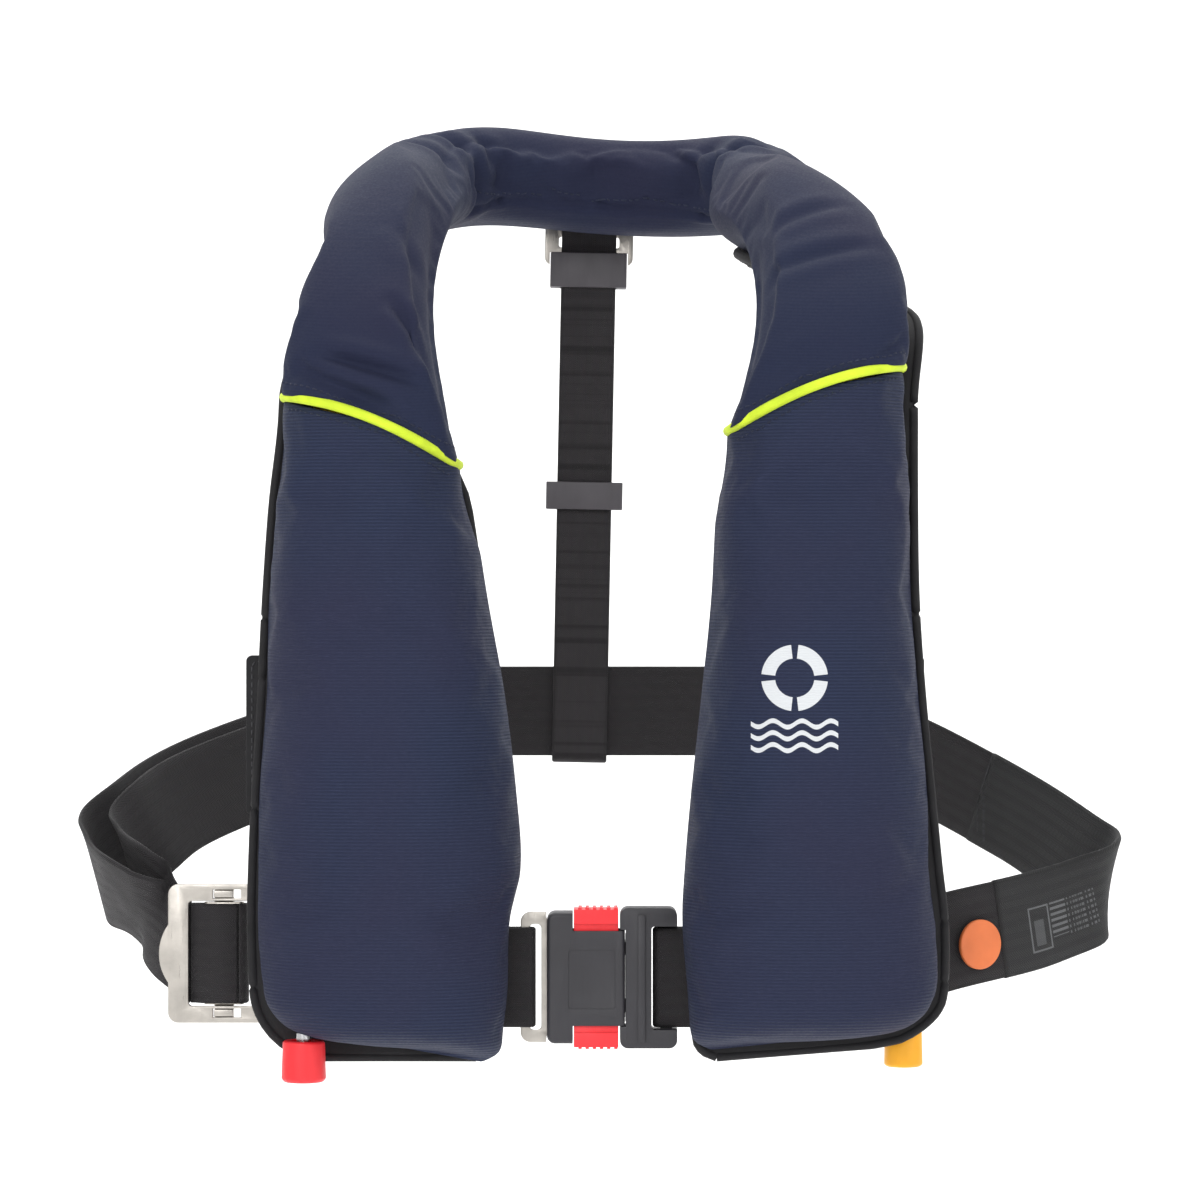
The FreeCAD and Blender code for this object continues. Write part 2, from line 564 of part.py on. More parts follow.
def release_button(z, sign):
    """A red press pad: its shank slides under the receiver's face, and its ridged cap stands in the notch."""
    def span(a, b):
        return sorted((z + sign * a, z + sign * b))
    low, high = span(22.6, 28)
    shank = box(-12.8, 9.0, -140.2, -125.0, low, high)
    low, high = span(26.6, 33.6)
    cap = box(-12.8, 9.0, -142.2, -122.8, low, high)
    ridges = []
    for i in range(6):
        x = -10.6 + i * 3.5
        low, high = span(33.4, 34.5)
        ridges.append(box(x, x + 1.7, -141.6, -123.4, low, high))
    return shank.fuse([cap] + ridges)


def latch_spring(z, sign):
    """A leaf between the pad and the tongue's prong that pushes the pad out."""
    low, high = sorted((z + sign * 17.4, z + sign * 18.2))
    return box(-11, 8, -136, -129, low, high)


# ---------------------------------------------------------------- adjuster
def adj_point(x, y, z=0.0):
    """From the adjuster's own frame: x to the wearer's right, y back, z up from the belt's middle."""
    return Vector(ADJ_X - x, FRONT_Y + y, ADJ_Z + z)


def adj_to_world(shape):
    moved = shape.mirror(Vector(0, 0, 0), Vector(1, 0, 0))
    moved.translate(adj_point(0, 0))
    return moved


def adjuster():
    half = ADJ_HALF_H
    outer = slab(-3, ADJ_LEN, -half, half, 5, -ADJ_T / 2, ADJ_T / 2)
    bulge = rod((ADJ_LEN - 20, -ADJ_T / 2, 0), (0, 1, 0), 24.5, ADJ_T)
    bulge = bulge.common(box(ADJ_LEN - 8, ADJ_LEN + 10, -5, 5, -30, 30))
    window = slab(3, ADJ_LEN - 10, -ADJ_WINDOW_HALF, ADJ_WINDOW_HALF, 2, -5, 5)
    frame = outer.fuse(bulge).cut(window)
    x0, x1 = ADJ_BAR
    # slots in the long sides, in which the bar's lugs run
    for sign in (1, -1):
        low, high = sorted((sign * 27.0, sign * 31.4))
        frame = frame.cut(box(x0 + 4.6 - ADJ_TRAVEL - 0.4, x1 - 4.6, -5, 5, low, high))
    save("adjuster_frame", adj_to_world(frame))

    body = box(x0, x1, 0.6, 5.6, -25.2, 25.2)
    body = soften(body, 2.2, lambda p: abs(p.z) < 0.1)
    ears = [box(x0 + 5, x1 - 5, 1.9, 5.0, *sorted((s * 24, s * 33))) for s in (1, -1)]
    lugs = [box(x0 + 5, x1 - 5, -1.3, 2.4, *sorted((s * 27.5, s * 30.9))) for s in (1, -1)]
    save("adjuster_bar", adj_to_world(body.fuse(ears + lugs)))

    def place(x, y):
        return Vector(x, y, -WEB_W / 2)
    front_y, back_y = 0.6 - 0.25 - WEB_T / 2, 5.6 + 0.25 + WEB_T / 2
    right_end = x0 - 0.25 - WEB_T / 2
    radius = (back_y - front_y) / 2 - 0.05
    path = [(ADJ_LEN - 10.6, 3.1), (x1 + 4.4, 3.1), (x1 + 1.6, front_y), (right_end, front_y),
            (right_end, back_y), (ADJ_LEN - 10.6, back_y)]
    face = strap_profile(path, [1.6, 1.6, radius, radius], WEB_T, place)
    save("belt_adjuster_fold", adj_to_world(face.extrude(Vector(0, 0, WEB_W))))


# ---------------------------------------------------------------- straps and belt
def front_strap():
    """A closed loop of webbing from the receiver's plate up to the adjuster's inner bar."""
    half = PLATE_T / 2 + 0.3 + WEB_T / 2
    left, right = ADJ_X - 3 - 0.9 - WEB_T / 2, PLATE_BAR_X[1] + 0.9 + WEB_T / 2
    outer = slab_stadium(left - WEB_T / 2, right + WEB_T / 2, half + WEB_T / 2)
    inner = slab_stadium(left + WEB_T / 2, right - WEB_T / 2, half - WEB_T / 2)
    middle = [(right + 9, FRONT_Z), (right - 14, FRONT_Z), (left + 22, ADJ_Z), (left - 9, ADJ_Z)]
    edge = [(x, z + WEB_W / 2) for x, z in middle] + [(x, z - WEB_W / 2) for x, z in reversed(middle)]
    corners = [Vector(x, FRONT_Y - 20, z) for x, z in edge]
    band = Part.Face(Part.makePolygon(corners + corners[:1])).extrude(Vector(0, 40, 0))
    save("front_strap", outer.cut(inner).common(band))


def slab_stadium(x0, x1, half):
    """An upright round-ended block, taller than the strap that is cut out of it."""
    low, tall = FRONT_Z - WEB_W, 2 * WEB_W + ADJ_Z - FRONT_Z
    core = box(x0 + half, x1 - half, FRONT_Y - half, FRONT_Y + half, low, low + tall)
    ends = [rod((x, FRONT_Y, low), (0, 0, 1), half, tall) for x in (x0 + half, x1 - half)]
    return core.fuse(ends)


def belt():
    low = FRONT_Z - WEB_W / 2
    half = 2 + 0.2 + WEB_T / 2

    def place(x, y):
        return Vector(x, FRONT_Y + y, low)
    end = 29.5 - 1.5 - WEB_T / 2
    fold = [(92, -half), (end, -half), (end, half), (116, half)]
    face = strap_profile(fold, [half - 0.05, half - 0.05], WEB_T, place)
    save("belt_front_left", face.extrude(Vector(0, 0, WEB_W)))

    side_left = [Vector(116.3, FRONT_Y + half, FRONT_Z), Vector(126, FRONT_Y + half + 1.4, -379),
                 Vector(136, -119.8, -377.5), Vector(152, -116.6, -375), Vector(169, -109, -371.5),
                 Vector(190, -98, -366), Vector(216, -83, -356.5),
                 Vector(240, -69, -346.5)]
    side_left += bend_points((246, -50.5), 15, -58, 68, -340, -327, 6)
    side_left += [Vector(228, -8, -314), Vector(205, 14, -301), Vector(178, 40, -286),
                  Vector(148, 68, -272), Vector(118, 93, -263), Vector(96, 107, -258.5), Vector(78, 116, -256.6),
                  Vector(60.3, BACK_Y, BACK_Z)]
    save("belt_side_left", ribbon(side_left, WEB_W, WEB_T))
    save("belt_back", box(-60, 60, BACK_Y - WEB_T / 2, BACK_Y + WEB_T / 2, BACK_Z - WEB_W / 2, BACK_Z + WEB_W / 2))

    side_right = [adj_point(ADJ_LEN + d, 3.1 + back, up)
                  for d, back, up in ((-10.3, 0, 0), (-4, 0, 0), (3, 0.3, 0.3), (14, 6, 1.5), (27, 15, 5), (38, 26, 11))]
    side_right += bend_points((-237, -66), 27, 215, 115, -351, -316, 6)
    side_right += [Vector(-236, -20, -305), Vector(-213, 8, -293), Vector(-182, 40, -280), Vector(-148, 70, -268.5),
                   Vector(-118, 93, -261.5), Vector(-96, 107, -258), Vector(-78, 116, -256.6),
                   Vector(-60.3, BACK_Y, BACK_Z)]
    save("belt_side_right", ribbon(side_right, WEB_W, WEB_T))

    rear = 5.6 + 0.25 + WEB_T / 2
    tail = [adj_point(ADJ_LEN + d, rear + back, up)
            for d, back, up in ((-10.3, 0, 0), (-6, 0, 0), (-1, 0.4, 0.3), (8, 6, 1.5), (17, 14, 5), (24, 24, 11))]
    tail += bend_points((-214, -72), 24, 215, 120, -349, -322, 5)
    tail += [Vector(-213, -38, -314), Vector(-196, -20, -303), Vector(-173, 4, -288), Vector(-150, 30, -277)]
    save("belt_tail", ribbon(tail, WEB_W, WEB_T))


def belt_fittings():
    """The printed sleeve and the inspection badge on the belt, and the tunnels and side flaps on the back panels."""
    a, b = Vector(196, -96.4, -364), Vector(236, -72.6, -348)
    along = (b - a).normalize()
    up = (Vector(0, 0, 1) - along * along.z).normalize()
    out = up.cross(along) * -1
    if out.y > 0:
        out = out * -1

    badge_at = Vector(187, -100, -366.4) + out * 3.2
    disc = rod(tuple(badge_at), tuple(out), 12.4, 2.2)
    disc = soften(disc, 0.8, lambda p: (p - badge_at).dot(out) > 2.0)
    save("inspection_badge", disc)

    rear = -125.4
    for side, word, x0, x1, z0, z1 in ((RIGHT, "right", 68, 122, -411, -338), (LEFT, "left", 62, 100, -407, -353)):
        low, high = sorted((side * x0, side * x1))
        shell = box(low, high, PANEL_REAR + 0.1, rear, z0, z1)
        space = box(low - 1, high + 1, PANEL_REAR + 1.3, rear - 1.2, z0 + 1.4, z1 - 1.4)
        save("belt_tunnel_" + word, shell.cut(space))
    for side, word, x0, x1 in ((RIGHT, "right", 150, 173), (LEFT, "left", 146, 163)):
        low, high = sorted((side * x0, side * x1))
        save("side_flap_" + word, slab(low, high, -300, -222, 3, PANEL_REAR + 0.1, PANEL_REAR + 1.9))


# ---------------------------------------------------------------- back strap
def strap_to_world(shape):
    moved = shape.copy()
    moved.rotate(Vector(0, 0, 0), Vector(0, 1, 0), STRAP_LEAN)
    moved.translate(STRAP_TOP)
    return moved


def back_strap():
    """The ring under the collar, the strap from it to the belt, its loose tail, and the two keepers."""
    y, off = BACK_Y, 1.5 + 0.15 + WEB_T / 2
    ring = slab(-24.2, 24.2, -11, 25, 4, y - 1.5, y + 1.5)
    ring = ring.cut(slab(-16.6, 16.6, 9.5, 20.5, 1.5, y - 5, y + 5))
    ring = ring.cut(slab(-16.6, 16.6, -1.5, 4.5, 1.5, y - 5, y + 5))
    # the upper keeper rides in this recess, between the ring's two feet
    ring = ring.cut(box(-21.5, 21.5, y - 5, y + 5, -12, -4.1))
    save("back_ring", strap_to_world(ring))

    def place(a, b):
        return Vector(-BACK_WEB_W / 2, a, b)
    # round the ring's middle bar at the top, and round the belt at the bottom
    low = BACK_Z - WEB_W / 2 - 1.4 - WEB_T / 2
    top = 9.5 + 1.1 + WEB_T / 2
    path = [(y + off, -165), (y + off, top), (y - off, top), (y - off, low), (y + off, low), (y + off, -222)]
    face = strap_profile(path, [off - 0.05] * 4, WEB_T, place)
    save("back_strap", strap_to_world(face.extrude(Vector(BACK_WEB_W, 0, 0))))

    foot = 20.5 - 1.1 - WEB_T / 2
    path = [(y - off, 38), (y - off, foot), (y + off, foot), (y + off, 38)]
    face = strap_profile(path, [off - 0.05, off - 0.05], WEB_T, place)
    patch = box(-19, 19, y - off - WEB_T / 2 - 0.1, y + off + WEB_T / 2 + 1.6, 38, 52)
    save("collar_anchor_loop", strap_to_world(face.extrude(Vector(BACK_WEB_W, 0, 0)).fuse(patch)))

    for word, top, height, depth in (("upper", -4.5, 19.0, 3.2), ("lower", -130.3, 15.0, 2.6)):
        inner_y = off + WEB_T / 2 + 0.35
        outer = box(-21, 21, y - inner_y - depth, y + inner_y + depth, top - height, top)
        outer = soften(outer, 1.5, lambda p: abs(p.z - (top - height / 2)) < 0.1)
        inner = box(-15.4, 15.4, y - inner_y, y + inner_y, top - height - 1, top + 1)
        save("strap_keeper_" + word, strap_to_world(outer.cut(inner)))


os.makedirs("parts", exist_ok=True)
for old in os.listdir("parts"):
    os.remove(os.path.join("parts", old))
pouch()
bladder()
cylinder_and_seal()
inflator_head()
lever()
firing_pin()
pull_cord_and_knob()
oral_tube()
whistle_and_lifting_loop()
buckle()
adjuster()
front_strap()
belt()
belt_fittings()
back_strap()
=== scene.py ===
"""The look of an inflatable life jacket, built round its CAD frame.

Metres. +X is the wearer's left, +Y is behind the wearer, +Z is up. The covers are sewn pillows, the straps
are woven ribbons, and the hard parts are the CAD parts with their edges rounded.
"""
import json
import math
from functools import partialmethod

import bmesh
import bpy
import numpy as np
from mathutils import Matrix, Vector
from mathutils.bvhtree import BVHTree


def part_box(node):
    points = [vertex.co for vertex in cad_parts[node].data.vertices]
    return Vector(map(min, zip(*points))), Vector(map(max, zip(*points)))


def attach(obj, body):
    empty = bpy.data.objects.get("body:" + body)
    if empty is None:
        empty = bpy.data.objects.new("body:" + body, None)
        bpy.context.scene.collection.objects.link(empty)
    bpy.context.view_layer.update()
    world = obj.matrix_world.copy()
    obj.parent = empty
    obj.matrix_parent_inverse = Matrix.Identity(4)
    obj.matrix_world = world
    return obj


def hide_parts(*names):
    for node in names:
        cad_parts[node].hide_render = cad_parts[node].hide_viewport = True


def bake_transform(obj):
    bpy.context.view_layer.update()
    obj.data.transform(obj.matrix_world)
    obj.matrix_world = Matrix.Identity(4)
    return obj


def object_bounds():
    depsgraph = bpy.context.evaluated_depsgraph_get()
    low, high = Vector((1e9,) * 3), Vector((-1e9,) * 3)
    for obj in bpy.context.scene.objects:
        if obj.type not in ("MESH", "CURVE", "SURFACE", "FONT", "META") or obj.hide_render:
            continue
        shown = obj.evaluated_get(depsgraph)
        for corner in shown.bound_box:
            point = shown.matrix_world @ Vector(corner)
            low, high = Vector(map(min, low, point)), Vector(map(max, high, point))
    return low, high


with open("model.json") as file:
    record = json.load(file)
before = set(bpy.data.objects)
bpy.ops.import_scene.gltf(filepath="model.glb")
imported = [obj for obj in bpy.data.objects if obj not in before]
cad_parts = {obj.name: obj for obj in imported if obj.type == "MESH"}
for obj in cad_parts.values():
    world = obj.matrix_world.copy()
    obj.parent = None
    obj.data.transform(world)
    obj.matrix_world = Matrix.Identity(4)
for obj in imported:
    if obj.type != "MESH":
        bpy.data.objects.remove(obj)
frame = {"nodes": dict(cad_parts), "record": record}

cad_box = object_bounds()

RIGHT, LEFT = -1, 1                      # the wearer's side, and the sign of its X
SIDES = ((RIGHT, "right"), (LEFT, "left"))
MM = 0.001

# Places that the frame settles
BACK_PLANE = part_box("cover_right")[1].y  # where a lobe's cover meets its back panel
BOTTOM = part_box("cover_right")[0].z
FRONT_Y = (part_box("front_strap")[0].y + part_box("front_strap")[1].y) / 2
BELT_LOW, BELT_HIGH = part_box("belt_front_left")[0].z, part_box("belt_front_left")[1].z
FRONT_Z, WEB_W = (BELT_LOW + BELT_HIGH) / 2, BELT_HIGH - BELT_LOW
ADJ_Z = (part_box("belt_adjuster_fold")[0].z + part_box("belt_adjuster_fold")[1].z) / 2
BACK_BELT = (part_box("belt_back")[0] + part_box("belt_back")[1]) / 2
WEB_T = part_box("belt_back")[1].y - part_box("belt_back")[0].y
FRAME_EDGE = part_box("adjuster_frame")[0].x
BACK_STRAP_W = 0.030
UP = Vector((0, 0, 1))


# ---- meshes
def add_mesh(name, points, faces, uv=None):
    """A new object from points and faces, shaded smooth."""
    mesh = bpy.data.meshes.new(name)
    mesh.from_pydata([tuple(p) for p in points], [], faces)
    if uv is not None:
        layer = mesh.uv_layers.new(name="UVMap")
        for loop in mesh.loops:
            layer.data[loop.index].uv = uv[loop.vertex_index]
    mesh.polygons.foreach_set("use_smooth", [True] * len(mesh.polygons))
    mesh.update()
    obj = bpy.data.objects.new(name, mesh)
    bpy.context.scene.collection.objects.link(obj)
    return obj


def with_ends(rings):
    """The rings, with two smaller ones inside each end so that smoothing keeps the end's edge."""
    def inner(ring, share):
        middle = sum(ring, Vector()) / len(ring)
        return [middle + (p - middle) * share for p in ring]
    first, last = rings[0], rings[-1]
    return [inner(first, 0.5), inner(first, 0.985)] + rings + [inner(last, 0.985), inner(last, 0.5)]


def ring_mesh(name, rings, uv=None):
    """A tube through closed rings of points, with its ends closed."""
    count, size = len(rings), len(rings[0])
    points = [p for ring in rings for p in ring]
    faces = []
    for i in range(count - 1):
        for k in range(size):
            a, b = i * size + k, i * size + (k + 1) % size
            faces.append((a, b, b + size, a + size))
    faces.append(tuple(reversed(range(size))))
    faces.append(tuple(range((count - 1) * size, count * size)))
    return add_mesh(name, points, faces, uv)


def use_material(obj, material):
    """Gives the object one material, in a single material slot."""
    obj.data.materials.clear()
    obj.data.materials.append(material)


def apply_modifiers(obj):
    """The object's mesh becomes what its modifiers make of it."""
    graph = bpy.context.evaluated_depsgraph_get()
    mesh = bpy.data.meshes.new_from_object(obj.evaluated_get(graph))
    obj.modifiers.clear()
    obj.data = mesh
    mesh.polygons.foreach_set("use_smooth", [True] * len(mesh.polygons))


def subdivide(obj, levels=1):
    """Catmull-Clark subdivision, applied."""
    obj.modifiers.new("smooth", "SUBSURF").levels = levels
    apply_modifiers(obj)


def points_of(obj):
    co = np.empty(len(obj.data.vertices) * 3)
    obj.data.vertices.foreach_get("co", co)
    return co.reshape(-1, 3)


def set_points(obj, points):
    obj.data.vertices.foreach_set("co", np.asarray(points, float).ravel())
    obj.data.update()


def smooth_curve(points, count):
    """Points along the clamped cubic B-spline that has these control points."""
    ctrl = np.array([tuple(p) for p in points], float)
    spans = len(ctrl) - 3
    knots = np.concatenate([[0] * 3, np.arange(spans + 1), [spans] * 3])
    found = []
    for t in np.linspace(0, spans, count):
        k = min(int(t), spans - 1) + 3
        d = [ctrl[j + k - 3].copy() for j in range(4)]
        for r in range(1, 4):
            for j in range(3, r - 1, -1):
                low = knots[j + k - 3]
                share = (t - low) / (knots[j + 1 + k - r] - low)
                d[j] = (1 - share) * d[j - 1] + share * d[j]
        found.append(d[3])
    return [Vector(p) for p in found]


def ease(value, low, high):
    """0 up to low, 1 from high on, and a smooth rise between."""
    t = min(max((value - low) / (high - low), 0.0), 1.0)
    return t * t * (3 - 2 * t)


def even_spacing(points, step):
    """The same line with its points evenly spaced, about a step apart."""
    pts = np.array([tuple(p) for p in points])
    run = np.concatenate([[0], np.cumsum(np.linalg.norm(np.diff(pts, axis=0), axis=1))])
    at = np.linspace(0, run[-1], max(int(run[-1] / step), 2) + 1)
    return [Vector(v) for v in np.stack([np.interp(at, run, pts[:, i]) for i in range(3)], axis=1)]


def ramp(values, at):
    """Smooth interpolation of a short table of (place, value) rows."""
    xs, ys = zip(*sorted(values))
    i = max(0, min(len(xs) - 2, int(np.searchsorted(xs, at) - 1)))

    def slope(j):
        if j in (0, len(xs) - 1):
            return 0.0
        return (ys[j + 1] - ys[j - 1]) / (xs[j + 1] - xs[j - 1])
    h = xs[i + 1] - xs[i]
    t = min(max((at - xs[i]) / h, 0.0), 1.0)
    a, b = slope(i) * h, slope(i + 1) * h
    return ((2 * t**3 - 3 * t**2 + 1) * ys[i] + (t**3 - 2 * t**2 + t) * a
            + (-2 * t**3 + 3 * t**2) * ys[i + 1] + (t**3 - t**2) * b)


# ---- materials
class Nodes:
    """A material and short calls for its nodes."""

    def __init__(self, name, colour, roughness, metallic=0.0, sheen=0.0, coat=0.0, specular=0.5):
        self.material = bpy.data.materials.new(name)
        self.material.use_nodes = True
        self.tree = self.material.node_tree
        self.shader = self.tree.nodes["Principled BSDF"]
        self.set("Base Color", (*colour, 1))
        self.set("Roughness", roughness)
        self.set("Metallic", metallic)
        self.set("Sheen Weight", sheen)
        self.set("Sheen Roughness", 0.5)
        self.set("Coat Weight", coat)
        self.set("Specular IOR Level", specular)

    def set(self, socket, value):
        self.shader.inputs[socket].default_value = value

    def add(self, kind, **values):
        node = self.tree.nodes.new("ShaderNode" + kind)
        for key, value in values.items():
            name = key.replace("_", " ")
            if name in node.inputs:
                node.inputs[name].default_value = value
            else:
                setattr(node, key, value)
        return node

    def join(self, out, into):
        self.tree.links.new(out, into)

    def place(self, uv=False, scale=(1, 1, 1)):
        source = self.add("TexCoord").outputs["UV" if uv else "Object"]
        mapping = self.add("Mapping")
        mapping.inputs["Scale"].default_value = scale
        self.join(source, mapping.inputs["Vector"])
        return mapping.outputs["Vector"]

    def noise(self, where, scale, detail=3.0, rough=0.5):
        node = self.add("TexNoise", Scale=scale, Detail=detail, Roughness=rough)
        self.join(where, node.inputs["Vector"])
        return node.outputs["Fac"]

    def bands(self, where, pitch, direction):
        node = self.add("TexWave", bands_direction=direction, wave_profile="SIN",
                        Scale=math.pi / 10 / pitch, Distortion=0.0)
        self.join(where, node.inputs["Vector"])
        return node.outputs["Fac"]

    def feed(self, socket, out):
        self.join(out, self.shader.inputs[socket])

    def parts(self, where):
        split = self.add("SeparateXYZ")
        self.join(where, split.inputs[0])
        return split.outputs

    def calc(self, kind, a, b=0.0, clamp=False):
        node = self.add("Math", operation=kind, use_clamp=clamp)
        for socket, value in zip(node.inputs, (a, b)):
            if isinstance(value, (int, float)):
                socket.default_value = value
            else:
                self.join(value, socket)
        return node.outputs[0]

    plus, minus = partialmethod(calc, "ADD"), partialmethod(calc, "SUBTRACT")
    times = partialmethod(calc, "MULTIPLY")
    above, below = partialmethod(calc, "GREATER_THAN"), partialmethod(calc, "LESS_THAN")
    size, sine = partialmethod(calc, "ABSOLUTE"), partialmethod(calc, "SINE")

    def within(self, value, low, high):
        return self.times(self.above(value, low), self.below(value, high))

    def wave(self, value, pitch):
        return self.sine(self.times(value, 2 * math.pi / pitch))

    def mix(self, share, a, b):
        node = self.add("Mix", data_type="RGBA")
        for socket, value in ((node.inputs[0], share), (node.inputs[6], a), (node.inputs[7], b)):
            if isinstance(value, tuple):
                socket.default_value = (*value, 1)
            elif isinstance(value, float):
                socket.default_value = value
            else:
                self.join(value, socket)
        return node.outputs[2]

    def spread(self, value, low, high, to_low, to_high):
        node = self.add("MapRange", clamp=True)
        self.join(value, node.inputs["Value"])
        for name, number in (("From Min", low), ("From Max", high), ("To Min", to_low), ("To Max", to_high)):
            node.inputs[name].default_value = number
        return node.outputs["Result"]

    def tint(self, colour, value, spread, shades):
        """Base colour between two shades of one colour. spread: low and high value, and the largest share."""
        low, high, share = spread
        dark, light = (shade(colour, factor) for factor in shades)
        self.feed("Base Color", self.mix(self.spread(value, low, high, 0.0, share), dark, light))

    def bump(self, *layers):
        """Layers of (height output, distance in metres), one on top of the other."""
        previous = None
        for height, distance in layers:
            node = self.add("Bump", Strength=1.0, Distance=distance)
            self.join(height, node.inputs["Height"])
            if previous is not None:
                self.join(previous, node.inputs["Normal"])
            previous = node.outputs["Normal"]
        self.join(previous, self.shader.inputs["Normal"])


def shade(colour, factor):
    """The colour made darker or lighter."""
    return tuple(min(c * factor, 1.0) for c in colour)


def cloth_material(name, colour, rib=1.6 * MM, rib_depth=0.22 * MM, thread=0.55 * MM, mark=None):
    """Coated polyester: fine cross ribs, crossed threads, and patches of painted sheen and shade, a noise
    mottle of a darker, redder navy.
    """
    m = Nodes(name, colour, 0.72, sheen=0.02, specular=0.12)
    where = m.place()
    ribs = m.bands(where, rib, "Z")
    warp = m.bands(where, thread, "X")
    uneven = m.noise(where, 38.0, 4.0)
    fine = m.noise(where, 900.0, 2.0)
    tone = m.mix(m.spread(ribs, 0, 1, 0.0, 1.0), shade(colour, 0.78), shade(colour, 1.18))
    # painted sheen and shade: noise patches of a darker, redder navy stand in for the satin's uneven sheen
    satin_shade_tint = (colour[0] * 1.15, colour[1] * 0.92, colour[2] * 0.92)
    sheen_mottle = m.mix(m.spread(m.noise(where, 9.0, 3.0), 0.38, 0.62, 0.0, 0.75), tone, satin_shade_tint)
    if mark is not None:
        sheen_mottle = m.mix(mark(m, where), sheen_mottle, (0.62, 0.64, 0.66))
    m.feed("Base Color", sheen_mottle)
    m.feed("Roughness", m.spread(fine, 0.3, 0.7, 0.62, 0.82))
    m.bump((ribs, rib_depth), (warp, 0.04 * MM), (uneven, 0.5 * MM))
    return m.material


def buoy_mark(centre, radius):
    """A plain lifebuoy ring over three short waves, printed on the chest."""
    def mask(m, where):
        spot = m.parts(where)
        x, z = m.minus(spot["X"], centre[0]), m.minus(spot["Z"], centre[1])
        away = m.calc("SQRT", m.plus(m.times(x, x), m.times(z, z)))
        band = m.below(m.size(m.minus(away, radius)), radius * 0.26)
        angle = m.calc("ARCTAN2", z, x)
        gaps = m.above(m.size(m.sine(m.times(angle, 2.0))), 0.22)
        ring = m.times(band, gaps)
        swell = m.times(m.wave(x, radius * 1.1), radius * 0.12)
        waves = None
        for drop in (1.75, 2.2, 2.65):
            line = m.plus(m.minus(z, swell), radius * drop)
            stripe = m.below(m.size(line), radius * 0.09)
            waves = stripe if waves is None else m.plus(waves, stripe)
        inside = m.below(m.size(x), radius * 1.65)
        return m.plus(ring, m.times(waves, inside), clamp=True)
    return mask


def webbing_material(name, colour, width, print_mask=None, cross_rib=0.0):
    """Woven strap: a chevron of threads, thin ribs along its length, denser edges. UV is in metres."""
    m = Nodes(name, colour, 0.62, sheen=0.05, specular=0.25)
    where = m.place(uv=True)
    spot = m.parts(where)
    along, across = spot["X"], spot["Y"]
    zigzag = m.calc("PINGPONG", across, 3.2 * MM)
    slant = m.plus(along, zigzag)
    threads = m.wave(slant, 1.15 * MM)
    ribs = m.wave(across, 1.2 * MM)
    weave = m.plus(m.times(threads, 0.75), m.times(ribs, 0.25))
    edge = m.spread(m.size(across), width / 2 - 1.8 * MM, width / 2 - 1.0 * MM, 0.0, 1.0)
    worn = m.noise(m.place(), 60.0, 4.0)
    tone = m.mix(m.spread(weave, -1, 1, 0, 1), shade(colour, 0.82), shade(colour, 1.2))
    tone = m.mix(m.spread(worn, 0.35, 0.75, 0.0, 0.4), tone, shade(colour, 1.7))
    tone = m.mix(edge, tone, shade(colour, 0.8))
    if print_mask is not None:
        tone = m.mix(print_mask(m, along, across), tone, (0.15, 0.155, 0.16))
    if cross_rib:
        drift = m.add("TexNoise", noise_dimensions="1D", Scale=170.0, Detail=2.0)
        m.join(along, drift.inputs["W"])
        tone = m.mix(m.spread(drift.outputs["Fac"], 0.52, 0.70, 0.0, cross_rib), tone, shade(colour, 0.45))
    m.feed("Base Color", tone)
    m.feed("Roughness", m.spread(worn, 0.3, 0.7, 0.55, 0.72))
    m.bump((weave, 0.16 * MM), (edge, 0.15 * MM))
    return m.material


def label_print(start, low, high):
    """A faint box with a symbol, a block of bars and rows of short dashes, as on a size label."""
    def mask(m, along, across):
        x = m.minus(along, start)
        rows = m.above(m.wave(across, 3.0 * MM), 0.1)
        grain = m.add("TexNoise", noise_dimensions="1D", Scale=620.0, Detail=1.0)
        m.join(x, grain.inputs["W"])
        dashes = m.above(grain.outputs["Fac"], 0.5)
        line = 0.9 * MM
        outer = m.times(m.within(x, 0.0, 13 * MM), m.within(across, low, high))
        inner = m.times(m.within(x, line, 13 * MM - line), m.within(across, low + line, high - line))
        frame_line = m.minus(outer, inner)
        sign = m.times(m.within(x, 3 * MM, 9 * MM), m.within(across, low + 3 * MM, high - 7 * MM))
        bars = m.times(m.within(x, 14 * MM, 24 * MM), rows)
        bars = m.times(bars, m.within(across, low + 5 * MM, high))
        text = m.times(m.times(m.within(x, 25 * MM, 42 * MM), rows), dashes)
        text = m.times(text, m.within(across, low + 4 * MM, high))
        total = m.plus(frame_line, m.times(sign, 0.5))
        total = m.plus(total, m.plus(bars, m.times(text, 0.8)))
        return m.times(total, 0.8, clamp=True)
    return mask


def mesh_material(name, colour):
    """Open net lining over foam, on the side that touches the wearer."""
    m = Nodes(name, colour, 0.8, sheen=0.05, specular=0.2)
    where = m.place()
    cells = m.add("TexVoronoi", feature="DISTANCE_TO_EDGE", Scale=330.0, Randomness=0.25)
    m.join(where, cells.inputs["Vector"])
    holes = m.spread(cells.outputs["Distance"], 0.05, 0.28, 0.0, 1.0)
    soft = m.noise(where, 30.0, 3.0)
    tone = m.mix(holes, shade(colour, 1.6), shade(colour, 0.45))
    m.feed("Base Color", m.mix(m.spread(soft, 0.3, 0.7, 0.0, 0.3), tone, shade(colour, 1.5)))
    m.bump((holes, -0.35 * MM), (soft, 1.0 * MM))
    return m.material


def tape_material(name, colour):
    """Narrow woven binding tape."""
    m = Nodes(name, colour, 0.7, sheen=0.05, specular=0.22)
    where = m.place()
    fine = m.noise(where, 1400.0, 2.0)
    slow = m.noise(where, 70.0, 3.0)
    m.tint(colour, slow, (0.3, 0.7, 0.6), (0.8, 1.35))
    m.bump((fine, 0.12 * MM), (slow, 0.4 * MM))
    return m.material


